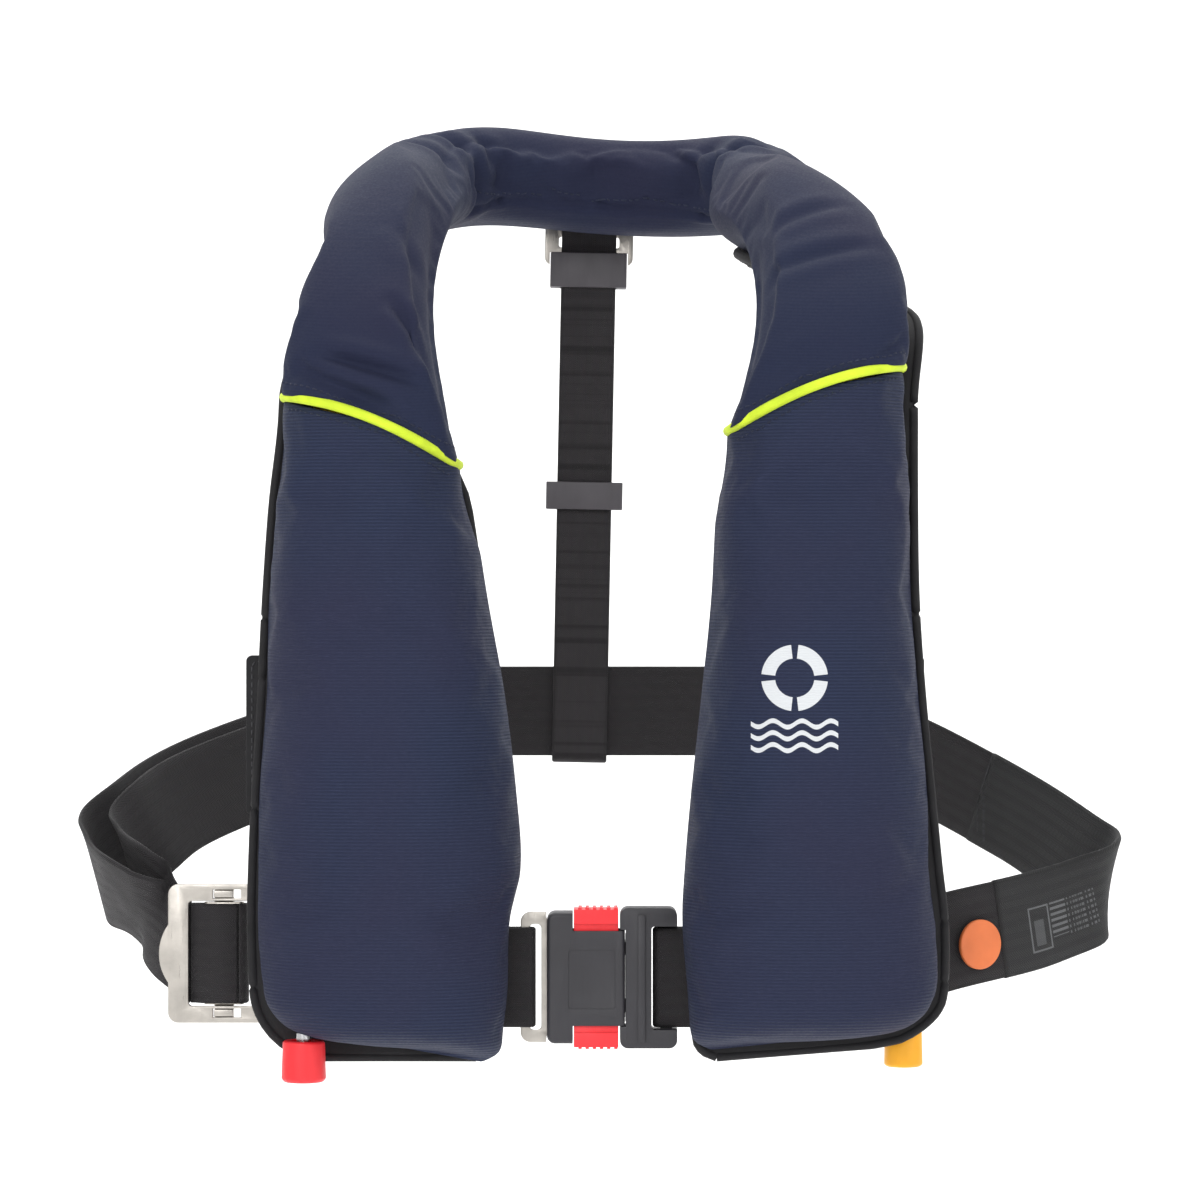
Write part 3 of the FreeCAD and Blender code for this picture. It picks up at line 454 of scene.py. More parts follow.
def plastic_material(name, colour, roughness=0.42, grain=0.03 * MM, coat=0.0):
    """Moulded plastic: fine spark texture, faint flow marks, and scuffs that change its gloss."""
    m = Nodes(name, colour, roughness, coat=coat, specular=0.5)
    where = m.place()
    fine = m.noise(where, 2600.0, 2.0)
    slow = m.noise(where, 45.0, 3.0)
    scuff = m.noise(m.place(scale=(1, 1, 0.12)), 420.0, 5.0, 0.7)
    m.tint(colour, slow, (0.3, 0.7, 1.0), (0.9, 1.12))
    m.feed("Roughness", m.spread(scuff, 0.4, 0.75, roughness, roughness + 0.18))
    m.bump((fine, grain), (scuff, 0.02 * MM))
    return m.material


def steel_material(name, colour=(0.62, 0.58, 0.53), roughness=0.3):
    """Tumbled stainless steel: soft grain, hairline scratches and darker patches."""
    m = Nodes(name, colour, roughness, metallic=1.0)
    where = m.place()
    patches = m.noise(where, 90.0, 4.0)
    grain = m.noise(m.place(scale=(1, 1, 0.06)), 1500.0, 3.0)
    dents = m.noise(where, 600.0, 3.0)
    m.tint(colour, patches, (0.3, 0.72, 1.0), (0.82, 1.1))
    m.feed("Roughness", m.spread(grain, 0.25, 0.75, roughness - 0.05, roughness + 0.16))
    m.bump((grain, 0.02 * MM), (dents, 0.05 * MM))
    return m.material


def cord_material(name, colour):
    """Braided cord, with slanted strands."""
    m = Nodes(name, colour, 0.7, sheen=0.4)
    where = m.place()
    braid = m.add("TexWave", bands_direction="DIAGONAL", Scale=260.0, Distortion=1.0)
    m.join(where, braid.inputs["Vector"])
    m.feed("Base Color", m.mix(braid.outputs["Fac"], shade(colour, 0.6), shade(colour, 1.2)))
    m.bump((braid.outputs["Fac"], 0.15 * MM))
    return m.material


def paper_material(name, colour):
    """Pressed white paper, as on the water-sensing cartridge."""
    m = Nodes(name, colour, 0.85)
    where = m.place()
    grains = m.noise(where, 1800.0, 3.0)
    m.feed("Base Color", m.mix(grains, shade(colour, 0.85), shade(colour, 1.1)))
    m.bump((grains, 0.2 * MM))
    return m.material


NAVY, YOKE_NAVY = (0.0200, 0.0265, 0.0560), (0.0165, 0.0215, 0.0480)
BLACK, STRAP = (0.0160, 0.0155, 0.0170), (0.0185, 0.0168, 0.0185)
MARK_CENTRE, MARK_RADIUS = (0.0925, -0.232), 0.0125

material = {
    "cover": cloth_material("cover_cloth", NAVY),
    "cover_marked": cloth_material("cover_cloth_marked", NAVY, mark=buoy_mark(MARK_CENTRE, MARK_RADIUS)),
    "yoke": cloth_material("yoke_cloth", YOKE_NAVY, rib=0.7 * MM, rib_depth=0.05 * MM, thread=0.5 * MM),
    "net": mesh_material("lining_net", BLACK),
    "tape": tape_material("binding_tape", BLACK),
    "piping": tape_material("lime_piping", (0.60, 0.78, 0.035)),
    "thread": tape_material("navy_thread", (0.02, 0.025, 0.05)),
    "dark_thread": tape_material("black_thread", (0.05, 0.05, 0.055)),
    "belt": webbing_material("belt_webbing", STRAP, WEB_W),
    "label": webbing_material("label_webbing", (0.021, 0.021, 0.022), WEB_W,
                              label_print(18 * MM, -16 * MM, 7 * MM)),
    "strap": webbing_material("strap_webbing", shade(STRAP, 1.4), BACK_STRAP_W, cross_rib=0.8),
    "steel": steel_material("stainless_steel", (0.50, 0.47, 0.43)),
    "bright_steel": steel_material("plated_steel", (0.72, 0.72, 0.73), 0.2),
    "black_plastic": plastic_material("black_nylon", (0.024, 0.023, 0.028)),
    "grey_plastic": plastic_material("dark_grey_nylon", (0.068, 0.062, 0.070), 0.45),
    "red": plastic_material("red_nylon", (0.80, 0.018, 0.026), 0.4, coat=0.05),
    "yellow": plastic_material("yellow_nylon", (0.90, 0.40, 0.006), 0.4, coat=0.05),
    "orange": plastic_material("orange_plastic", (0.66, 0.16, 0.045), 0.5),
    "rubber": plastic_material("black_rubber", (0.03, 0.03, 0.032), 0.6),
    "bladder": plastic_material("coated_bladder", (0.8, 0.55, 0.03), 0.5),
    "cord": cord_material("red_cord", (0.5, 0.03, 0.03)),
    "salt": paper_material("cartridge_paper", (0.8, 0.8, 0.78)),
}


def dress(obj, look, slot, body, *stands_for):
    """Gives a piece its material and body, and says which CAD nodes it stands for. The slot is not used."""
    use_material(obj, material[look])
    if stands_for:
        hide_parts(*stands_for)
    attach(obj, body)


# ---- soft covers
def settle(obj, pinned, pressure, spare):
    """Cloth simulation: air inside pushes the fabric out, and the spare fabric gathers in small folds."""
    frames, stiff, furthest = 20, 18.0, 0.005
    group = obj.vertex_groups.new(name="pinned")
    group.add([int(i) for i in pinned], 1.0, "REPLACE")
    before = points_of(obj)
    cloth = obj.modifiers.new("cloth", "CLOTH")
    s = cloth.settings
    s.quality = 7
    s.mass = 0.25
    s.tension_stiffness = s.compression_stiffness = stiff
    s.shear_stiffness = stiff / 2
    s.bending_stiffness = 0.6
    s.tension_damping = s.compression_damping = 8
    s.air_damping = 4
    s.vertex_group_mass = "pinned"
    s.use_pressure = True
    s.uniform_pressure_force = pressure
    s.shrink_min = -spare
    s.effector_weights.gravity = 0
    cloth.point_cache.frame_end = frames
    scene = bpy.context.scene
    scene.frame_start, scene.frame_end = 1, frames
    for f in range(1, frames + 1):
        scene.frame_set(f)
    graph = bpy.context.evaluated_depsgraph_get()
    final = bpy.data.meshes.new_from_object(obj.evaluated_get(graph))
    after = np.empty(len(before) * 3)
    final.vertices.foreach_get("co", after)
    move = after.reshape(-1, 3) - before
    length = np.linalg.norm(move, axis=1, keepdims=True)
    move *= np.minimum(1.0, furthest / np.maximum(length, 1e-9))
    obj.modifiers.clear()
    set_points(obj, before + move)
    scene.frame_set(1)


def crease(obj, start, end, depth, width, even=False):
    """Presses a fold into the fabric under a line, fading at its ends unless it is even."""
    co = points_of(obj)
    tree = BVHTree.FromObject(obj, bpy.context.evaluated_depsgraph_get())
    steps = 12
    line = [Vector(start).lerp(Vector(end), k / steps) for k in range(steps + 1)]
    line = np.array([tree.find_nearest(p)[0] for p in line])
    away, place = np.full(len(co), 1e9), np.zeros(len(co))
    for k in range(steps):
        run = line[k + 1] - line[k]
        t = np.clip(((co - line[k]) @ run) / max(run @ run, 1e-12), 0, 1)
        far = np.linalg.norm(co - (line[k] + t[:, None] * run), axis=1)
        nearer = far < away
        away, place = np.where(nearer, far, away), np.where(nearer, (k + t) / steps, place)
    fade = 1.0 if even else np.sin(np.pi * np.clip(place, 0.02, 0.98)) ** 0.5
    dip = np.exp(-(away / width) ** 2) - 0.45 * np.exp(-((away - 2.2 * width) / (1.3 * width)) ** 2)
    normals = np.array([v.normal for v in obj.data.vertices])
    co -= normals * (depth * dip * fade)[:, None]
    set_points(obj, co)


class Section:
    """A cross-section of the horseshoe: its middle, its width direction and its outer face's way."""

    def __init__(self, centre, across, out, half_width, half_thick):
        self.centre = Vector(centre)
        self.out = Vector(out).normalized()
        w = Vector(across)
        self.across = (w - self.out * w.dot(self.out)).normalized()
        self.half_width, self.half_thick = half_width, half_thick

    def ring(self, count, front_power=2.5, back_power=3.2):
        points = []
        for i in range(count):
            angle = 2 * math.pi * i / count
            c, s = math.cos(angle), math.sin(angle)
            p = front_power if s >= 0 else back_power
            w = self.half_width * math.copysign(abs(c) ** (2 / p), c)
            n = self.half_thick * math.copysign(abs(s) ** (2 / p), s)
            points.append(self.centre + self.across * w + self.out * n)
        return points


# height, inner edge, outer edge, and outer edge of the black panel behind it, of each lobe from the seam down
LOBE = {
    RIGHT: [(-0.096, 0.0700, 0.1545, 0.1545), (-0.150, 0.0615, 0.1572, 0.1597),
            (-0.195, 0.0545, 0.1615, 0.1628), (-0.240, 0.0465, 0.1625, 0.1650),
            (-0.290, 0.0405, 0.1662, 0.1680), (-0.325, 0.0385, 0.1665, 0.1695),
            (-0.352, 0.0440, 0.1662, 0.1700), (-0.385, 0.0450, 0.1640, 0.1690),
            (-0.412, 0.0475, 0.1620, 0.1675)],
    LEFT: [(-0.084, 0.0640, 0.1480, 0.1530), (-0.147, 0.0568, 0.1505, 0.1530),
           (-0.195, 0.0540, 0.1518, 0.1538), (-0.240, 0.0495, 0.1552, 0.1568),
           (-0.292, 0.0440, 0.1598, 0.1618), (-0.325, 0.0412, 0.1600, 0.1650),
           (-0.352, 0.0400, 0.1632, 0.1680), (-0.385, 0.0425, 0.1640, 0.1678),
           (-0.412, 0.0440, 0.1595, 0.1650)],
}
INNER, OUTER, PANEL = 1, 2, 3
# inner and outer end (x, z) of the slanted seam between lobe and yoke
SEAM = {RIGHT: ((0.0685, -0.1300), (0.1535, -0.0970)), LEFT: ((0.0620, -0.1135), (0.1470, -0.0825))}
SEAM_CROWN, CROWN = 0.046, 0.0505
SEAM_GAP = 0.0008
LOBE_POWER, ROLL_POWER = 2.7, 2.2         # how square a lobe's section and its lower edge are
AROUND = 72                              # points round a section
SEAM_BOW = 0.0055                        # how far the seam arches up over the crown
OUTER_CORNER, INNER_CORNER, ROLL = 0.026, 0.010, 0.024
INNER_DROP = {RIGHT: 0.0145, LEFT: 0.0085}  # how much lower a cover's bottom is at its inner end


def edge_x(side, z, which, floor, corner):
    """The x of a lobe's inner, outer or panel edge at a height, with the bottom corner rounded."""
    x = ramp([(row[0], row[which]) for row in LOBE[side]], z)
    rise = min(max((floor + corner - z) / corner, 0.0), 1.0)
    pull = corner * (1 - math.sqrt(max(1 - rise * rise, 0.0)))
    return x + pull if which == INNER else x - pull


def seam_bow(u):
    """How far the seam arches up at a share u of its length."""
    return SEAM_BOW * math.sin(math.pi * u)


def lobe_rings(side, floor, rows):
    """Rings of a front cover, from the slanted seam down to the rounded bottom."""
    (xi, zi), (xo, zo) = SEAM[side]
    count, front = AROUND, AROUND // 2
    rings = []
    for r in range(rows):
        share = r / (rows - 1)
        ring = []
        for i in range(count):
            u = i / front if i <= front else (count - i) / front
            top = zo + (zi - zo) * u + (seam_bow(u) if i <= front else 0.0)
            low = floor - INNER_DROP[side] * u
            z = top + (low - top) * share ** 0.92
            end = min(max((low + ROLL - z) / ROLL, 0.0), 1.0)
            lift = max((1 - end ** ROLL_POWER) ** (1 / ROLL_POWER), 0.07)
            outer = edge_x(side, z, OUTER, low, OUTER_CORNER)
            inner = edge_x(side, z, INNER, low, INNER_CORNER)
            if share < 0.12:
                blend = share / 0.12
                outer = xo + (outer - xo) * blend
                inner = xi + (inner - xi) * blend
            w = math.cos(math.pi * u)
            spread = math.copysign(abs(w) ** (2 / LOBE_POWER), w)
            x = (outer + inner) / 2 + (outer - inner) / 2 * spread
            crown = SEAM_CROWN + (CROWN - SEAM_CROWN) * min(share / 0.3, 1.0)
            n = crown * lift * max(math.sin(math.pi * u), 0.0) ** (2 / LOBE_POWER) if i <= front else -0.0004
            ring.append(Vector((side * x, BACK_PLANE - n, z)))
        rings.append(ring)
    return rings


def end_points(rows, count):
    """The points of a tube's first and last three rings."""
    return np.concatenate([np.arange(3 * count), np.arange((rows - 3) * count, rows * count)])


def build_cover(side, word):
    """The padded front cover of one lobe."""
    rings, count = with_ends(lobe_rings(side, BOTTOM, 78)), AROUND
    rows = len(rings)
    cover = ring_mesh("front_cover_" + word, rings)
    fix_normals(cover)
    co = points_of(cover)
    behind = np.where(co[:, 1] > BACK_PLANE - 0.0006)[0]
    ends = end_points(rows, count)
    settle(cover, np.unique(np.concatenate([behind, ends])), pressure=2.2, spare=0.012)
    subdivide(cover)
    for start, end, depth, width in COVER_CREASES[side]:
        crease(cover, start, end, depth, width)
    dress(cover, "cover_marked" if side == LEFT else "cover", "navy_fabric", "harness", "cover_" + word)
    return cover


# (start, end, depth, width) of the folds that show in each lobe
COVER_CREASES = {
    RIGHT: [((-0.072, -0.190, -0.150), (-0.098, -0.197, -0.178), 0.0012, 0.006),
            ((-0.158, -0.180, -0.352), (-0.120, -0.197, -0.338), 0.0018, 0.005),
            ((-0.062, -0.190, -0.352), (-0.085, -0.198, -0.340), 0.0012, 0.006),
            ((-0.150, -0.185, -0.398), (-0.110, -0.190, -0.385), 0.0012, 0.006)],
    LEFT: [((0.064, -0.185, -0.150), (0.090, -0.197, -0.168), 0.0010, 0.006),
           ((0.048, -0.180, -0.350), (0.085, -0.198, -0.338), 0.0018, 0.005),
           ((0.155, -0.182, -0.330), (0.125, -0.198, -0.345), 0.0014, 0.006)],
}

# yoke and half collar, as if for x > 0, from the chest to the nape
# of each section: the width direction, the outer face's direction and the half thickness
YOKE_TURNS = [
    ((1, 0, 0.1), (0, -0.95, 0.3), 0.0235),
    ((0.97, 0, -0.22), (0, -0.76, 0.65), 0.0245),
    ((0.84, 0, -0.54), (0.42, -0.4, 0.81), 0.025),
    ((0.78, 0.1, -0.62), (0.54, -0.1, 0.84), 0.025),
    ((0.76, 0.45, -0.47), (0.38, 0, 0.92), 0.0265),
    ((0.52, 0.82, -0.2), (0.14, 0.1, 0.97), 0.028),
    ((0.26, 0.96, -0.04), (0.02, 0.04, 1), 0.0285),
]
# and its middle and half width
YOKE_PLACES = {
    RIGHT: [((0.115, -0.162, -0.066), 0.0362), ((0.1118, -0.12, -0.027), 0.031),
            ((0.106, -0.078, 0), 0.0315), ((0.1035, -0.026, 0.012), 0.031),
            ((0.0975, 0.022, 0.023), 0.0305), ((0.081, 0.06, 0.0335), 0.0285),
            ((0.054, 0.084, 0.0385), 0.0265)],
    LEFT: [((0.1125, -0.162, -0.06), 0.038), ((0.111, -0.12, -0.024), 0.0365),
           ((0.1005, -0.078, -0.002), 0.032), ((0.088, -0.026, 0.004), 0.0305),
           ((0.086, 0.022, 0.017), 0.03), ((0.083, 0.06, 0.0325), 0.0285),
           ((0.054, 0.084, 0.03), 0.0262)],
}
YOKE = {side: [(middle, across, out, half_width, half_thick)
               for (middle, half_width), (across, out, half_thick) in zip(YOKE_PLACES[side], YOKE_TURNS)]
        for side, _ in SIDES}
# the section just above the seam is level with each lobe's crown
YOKE[RIGHT].insert(0, ((0.112, -0.1688, -0.091), (0.079, 0, 0.02), (0, -0.99, 0.1), 0.0418, 0.0232))
YOKE[LEFT].insert(0, ((0.107, -0.1688, -0.084), (0.08, 0, 0.02), (0, -0.99, 0.1), 0.0425, 0.0232))
COLLAR_MIDDLE = ((0, 0.0920, 0.0306), (0, 1, 0), (0, 0, 1), 0.0258, 0.0274)


def seam_section(side, lift=0.0):
    """The horseshoe's first or last section, along the slanted seam."""
    (xi, zi), (xo, zo) = SEAM[side]
    half = math.hypot(xo - xi, zo - zi) / 2
    return Section((side * (xi + xo) / 2, BACK_PLANE - SEAM_CROWN / 2, (zi + zo) / 2 + lift),
                   (side * (xo - xi), 0, zo - zi), (0, -1, 0), half, SEAM_CROWN / 2)


def mirrored(row, side):
    """A row of YOKE as a section on its own side."""
    c, w, n, a, b = row
    return Section((side * c[0], c[1], c[2]), (side * w[0], w[1], w[2]), (side * n[0], n[1], n[2]), a, b)


def bowed(ring, side):
    """The seam's ring with its front half arched, as the top of the lobe is."""
    (xi, zi), (xo, zo) = SEAM[side]
    front = len(ring) // 2
    return [p + Vector((0, 0, seam_bow((side * p.x - xo) / (xi - xo)))) if k <= front else p
            for k, p in enumerate(ring)]


def horseshoe_rings(rows, count):
    """Rings from the right lobe's seam over the shoulder, round the neck and down to the left lobe's seam."""
    middle = [mirrored(r, RIGHT) for r in YOKE[RIGHT]] + [Section(*COLLAR_MIDDLE)]
    middle += [mirrored(r, LEFT) for r in reversed(YOKE[LEFT])]
    control = [s.ring(count) for s in middle]
    control.insert(0, bowed(seam_section(RIGHT, SEAM_GAP).ring(count), RIGHT))
    control.append(bowed(seam_section(LEFT, SEAM_GAP).ring(count), LEFT))
    columns = [smooth_curve([ring[k] for ring in control], rows) for k in range(count)]
    return [[column[r] for column in columns] for r in range(rows)]


def build_shoulders():
    """Both yokes and the collar, one padded tube with a seam round the neck."""
    count = AROUND
    rings = with_ends(horseshoe_rings(190, count))
    rows = len(rings)
    tube = ring_mesh("yokes_and_collar", rings)
    fix_normals(tube)
    ends = end_points(rows, count)
    lining = range(int(count * 0.58), int(count * 0.92))
    lining_side = np.concatenate([np.arange(rows) * count + k for k in lining])
    settle(tube, np.unique(np.concatenate([ends, lining_side])), pressure=3.2, spare=0.025)
    subdivide(tube)
    for start, end, depth, width in SHOULDER_CREASES:
        crease(tube, start, end, depth, width)
    for start, end in zip(COLLAR_SEAM, COLLAR_SEAM[1:]):
        crease(tube, start, end, 0.0012, 0.0018, even=True)
    dress(tube, "yoke", "navy_fabric", "harness", "yoke_right", "yoke_left", "collar_cover")
    return tube


SHOULDER_CREASES = [
    ((-0.082, -0.195, -0.090), (-0.136, -0.195, -0.076), 0.0048, 0.0032),
    ((-0.080, -0.185, -0.076), (-0.098, -0.180, -0.048), 0.0040, 0.0034),
    ((-0.100, -0.195, -0.104), (-0.146, -0.190, -0.084), 0.0034, 0.0032),
    ((-0.086, -0.150, -0.038), (-0.096, -0.140, -0.008), 0.0016, 0.0050),
    ((-0.090, 0.036, 0.056), (-0.072, 0.034, 0.008), 0.0032, 0.0046),
    ((-0.066, 0.050, 0.054), (-0.058, 0.052, 0.022), 0.0020, 0.0040),
    ((-0.104, 0.000, 0.044), (-0.084, 0.000, 0.006), 0.0018, 0.0050),
    ((0.088, 0.036, 0.052), (0.068, 0.034, 0.004), 0.0032, 0.0046),
    ((0.060, 0.052, 0.050), (0.050, 0.054, 0.018), 0.0020, 0.0040),
    ((0.080, -0.160, -0.040), (0.134, -0.155, -0.020), 0.0022, 0.0042),
    ((0.080, -0.140, -0.016), (0.120, -0.128, 0.006), 0.0020, 0.0042),
    ((0.078, -0.190, -0.088), (0.112, -0.195, -0.074), 0.0014, 0.0042),
]
# the seam that runs round the front of the collar, above its lower edge
COLLAR_SEAM = [(-0.078, 0.034, 0.017), (-0.055, 0.053, 0.0195), (0, 0.064, 0.0170), (0.055, 0.053, 0.0110),
               (0.078, 0.036, 0.006)]


def build_bladder():
    """The folded air chamber inside the covers."""
    count, fill = AROUND, 0.66
    lobe = {side: lobe_rings(side, BOTTOM, 60) for side in (RIGHT, LEFT)}
    rings = lobe[RIGHT][::-1][3:] + horseshoe_rings(160, count)[1:-1] + lobe[LEFT][:-3]
    shrunk = []
    for ring in rings:
        middle = sum(ring, Vector()) / count
        shrunk.append([middle + (p - middle) * fill for p in ring])
    chamber = ring_mesh("folded_bladder", shrunk)
    fix_normals(chamber)
    dress(chamber, "bladder", "bladder_yellow", "harness", "bladder")


def tube_along(name, points, radius, sides=10):
    """A thin round cord along a line of points."""
    rings = []
    for i, p in enumerate(points):
        along = (points[min(i + 1, len(points) - 1)] - points[max(i - 1, 0)]).normalized()
        side = along.cross(UP)
        side = side.normalized() if side.length > 0.05 else along.cross(Vector((0, 1, 0))).normalized()
        up = side.cross(along)
        rings.append([p + side * radius * math.cos(2 * math.pi * k / sides)
                      + up * radius * math.sin(2 * math.pi * k / sides) for k in range(sides)])
    return ring_mesh(name, rings)


PIPING_RADIUS, PIPING_OUT, PIPING_SHORT = 0.0025, 0.0021, 0.0002  # and how far it stands out and ends short
BINDING_RADIUS, PANEL_THICK = 0.0024, 0.0030


def seam_line(side):
    """The seam between lobe and yoke, from the outer edge over the crown to the inner one."""
    section = seam_section(side, 0.0004)
    points = []
    for i in range(61):
        angle = math.pi * (0.015 + 0.97 * i / 60)
        c, s = math.cos(angle), math.sin(angle)
        w = (section.half_width - PIPING_SHORT) * math.copysign(abs(c) ** (2 / LOBE_POWER), c)
        n = (section.half_thick * 2) * s ** (2 / LOBE_POWER) - section.half_thick + PIPING_OUT
        points.append(section.centre + section.across * w + section.out * n)
    return bowed(points + points[::-1], side)[:len(points)]


def build_piping(side, word):
    """Lime piping in the seam between lobe and yoke."""
    points = seam_line(side)
    piping = tube_along("seam_piping_" + word, even_spacing(points, 0.002), PIPING_RADIUS)
    dress(piping, "piping", "lime_piping", "harness", "piping_" + word)


# ---- back panels
INNER_TUCK, TOP_TUCK = 0.003, 0.010      # how far the panel's inner edge hides, and more at the seam
OUTER_RISE = {RIGHT: 0.0, LEFT: 0.006}   # how much higher the panel's bottom is at its outer end
PANEL_CLEAR = 0.0022
# how far the panel reaches across the yoke's sections, as shares of their half width, from chest to nape
INNER_REACH = (0.66, 0.48, 0.30, 0.16, 0.02)
OUTER_REACH = {RIGHT: (0.92, 0.92, 0.86, 0.70, 0.20), LEFT: (1.20, 1.26, 1.12, 0.86, 0.20)}


def panel_outline(side, floor):
    """The black panel's edges for rising heights, as rows of (inner point, outer point, outward normal)."""
    (xi, zi), (xo, zo) = SEAM[side]
    rows = []
    for i in range(46):
        share = (i / 45) ** 1.25
        z = floor + (-0.10 - floor) * share
        outer = edge_x(side, z, PANEL, floor, OUTER_CORNER + 0.006)
        inner = edge_x(side, z, INNER, floor, INNER_CORNER) + INNER_TUCK + TOP_TUCK * ease(z, -0.150, -0.105)
        rise = OUTER_RISE[side] * ease(-z, -floor - 0.030, -floor)
        rows.append((Vector((side * inner, BACK_PLANE, z)), Vector((side * outer, BACK_PLANE, z + rise)),
                     Vector((0, 1, 0))))
    upper = [mirrored(row, side) for row in YOKE[side][1:6]]
    ins, outs = ([rows[-1][k], rows[-1][k] + UP * 0.010] for k in (0, 1))
    for s, near, far in zip(upper, INNER_REACH, OUTER_REACH[side]):
        behind = s.centre - s.out * (s.half_thick + PANEL_CLEAR)
        ins.append(behind - s.across * s.half_width * near)
        outs.append(behind + s.across * s.half_width * far)
    ins, outs = smooth_curve(ins, 56), smooth_curve(outs, 56)
    for a, b, c in zip(ins[1:], outs[1:], ins[2:] + [ins[-1] * 2 - ins[-2]]):
        across = (b - a).normalized()
        normal = across.cross((c - a).normalized()) * -side
        rows.append((a, b, -normal.normalized() if normal.y < 0 and normal.z > 0 else normal.normalized()))
    return rows


def build_panel(side, word):
    """Padded lining panel behind a lobe and its yoke, with a rolled binding all round."""
    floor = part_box("back_panel_" + word)[0].z
    rows = panel_outline(side, floor)
    columns, thick = 17, PANEL_THICK
    front, back = [], []
    for a, b, normal in rows:
        toward_wearer = normal if normal.y > 0 or normal.z < 0 else -normal
        for i in range(columns):
            u = i / (columns - 1)
            p = a.lerp(b, u)
            pad = 0.0014 * max(math.sin(math.pi * u), 0.0) ** 0.5
            front.append(p + toward_wearer * 0.0004)
            back.append(p + toward_wearer * (thick + pad))
    count = len(rows)
    faces = []
    for r in range(count - 1):
        for i in range(columns - 1):
            a = r * columns + i
            quad = (a, a + 1, a + 1 + columns, a + columns)
            faces += [quad, tuple(v + count * columns for v in reversed(quad))]
    loop = [(r, 0) for r in range(count)] + [(count - 1, i) for i in range(1, columns)]
    loop += [(r, columns - 1) for r in range(count - 2, -1, -1)] + [(0, i) for i in range(columns - 2, 0, -1)]
    ids = [r * columns + i for r, i in loop]
    for a, b in zip(ids, ids[1:] + ids[:1]):
        faces.append((a, a + count * columns, b + count * columns, b))
    panel = add_mesh("lining_panel_" + word, front + back, faces)
    fix_normals(panel)
    use_material(panel, material["tape"])
    panel.data.materials.append(material["net"])
    half = count * columns
    for face in panel.data.polygons:
        face.material_index = int(all(v >= half for v in face.vertices))
    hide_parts("back_panel_" + word)
    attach(panel, "harness")

    edge = [(Vector(front[k]) + Vector(back[k])) / 2 for k in ids]
    binding = tube_along("panel_binding_" + word, even_spacing(edge + edge[:1], 0.003), BINDING_RADIUS)
    dress(binding, "tape", "black_fabric", "harness")

    columns_in = [(rows[k][0].lerp(rows[k][1], share), rows[k][2]) for share in (0.07, 0.93) for k in
                  (range(3, count - 3) if share < 0.5 else range(count - 4, 2, -1))]
    seam = [p + (n if n.y > 0 or n.z < 0 else -n) * (thick + 0.002) for p, n in columns_in]
    stitch_row("lining_stitches_" + word, seam + seam[:1], panel, pitch=0.0045, gauge="dark_thread",
               slot="black_fabric")


def fix_normals(obj):
    """Turns every face of a closed mesh outward."""
    mesh = bmesh.new()
    mesh.from_mesh(obj.data)
    bmesh.ops.recalc_face_normals(mesh, faces=mesh.faces)
    mesh.to_mesh(obj.data)
    mesh.free()


# ---- stitching
def stitch_row(name, points, surface, pitch=0.0040, gauge="thread", slot="navy_fabric"):
    """A row of thread stitches laid on a surface along a line of points."""
    length, radius, lift = 0.0027, 0.00032, 0.0001
    tree = BVHTree.FromObject(surface, bpy.context.evaluated_depsgraph_get())
    verts, faces = [], []
    line = even_spacing(points, pitch)
    for here, there in zip(line, line[1:]):
        along = (there - here).normalized()
        spots = []
        for share, sink in ((0.0, 1.0), (0.2, -0.4), (0.8, -0.4), (1.0, 1.0)):
            p, normal = tree.find_nearest(here + along * length * share)[:2]
            if p is None:
                break
            spots.append((p + normal * (lift - radius * sink), normal))
        if len(spots) < 4:
            continue
        base = len(verts)
        for k, (p, normal) in enumerate(spots):
            side = along.cross(normal).normalized()
            size = radius * (0.5 if k in (0, 3) else 1.0)
            for j in range(6):
                angle = math.pi * j / 3
                verts.append(p + side * size * math.cos(angle) * 1.25 + normal * size * math.sin(angle))
        for k in range(3):
            for j in range(6):
                a, b = base + k * 6 + j, base + k * 6 + (j + 1) % 6
                faces.append((a, b, b + 6, a + 6))
        faces.append(tuple(base + j for j in reversed(range(6))))
        faces.append(tuple(base + 18 + j for j in range(6)))
    row = add_mesh(name, verts, faces)
    dress(row, gauge, slot, "harness")


# ---- webbing
def ribbon(name, points, width, thickness, across=None, lean=None, plain_back=False, even=lambda p: 1,
           follow=lambda p: 1):
    """Woven strap along a line, upright unless across is given. lean(point) tips its top edge outward, in
    radians, even(point) is how many points each way its direction is averaged over, and follow(point) is 0
    where the strap stays upright on a slope and 1 where it turns with the slope."""
    half, edge = thickness / 2, thickness * 0.38
    side, lines = width / 2, 9
    profile = [(side - edge, half), (side, half - edge), (side, edge - half), (side - edge, -half)]
    profile += [(side - edge - (width - 2 * edge) * k / lines, -half) for k in range(1, lines)]
    profile += [(-w, -h) for w, h in profile[:4]]
    profile += [(-side + edge + (width - 2 * edge) * k / lines, half) for k in range(1, lines)]
    rings, uv, run, last = [], [], 0.0, len(points) - 1
    for i, p in enumerate(points):
        reach = even(p)
        along = (points[min(i + reach, last)] - points[max(i - reach, 0)]).normalized()
        if across is None:
            wide = (UP - along * along.z * follow(p)).normalized()
        else:
            wide = (across - along * across.dot(along)).normalized()
        flat = along.cross(wide).normalized()
        if lean is not None:
            tip = lean(p) * (1 if flat.dot(Vector((p.x, p.y + 0.03, 0))) > 0 else -1)
            c, s = math.cos(tip), math.sin(tip)
            wide, flat = wide * c + flat * s, flat * c - wide * s
        if i:
            run += (p - points[i - 1]).length
        rings.append([p + wide * w + flat * h for w, h in profile])
        uv += [(run + (1.0 if plain_back and h < 0 else 0.0), w) for w, h in profile]
    return ring_mesh(name, rings, uv)


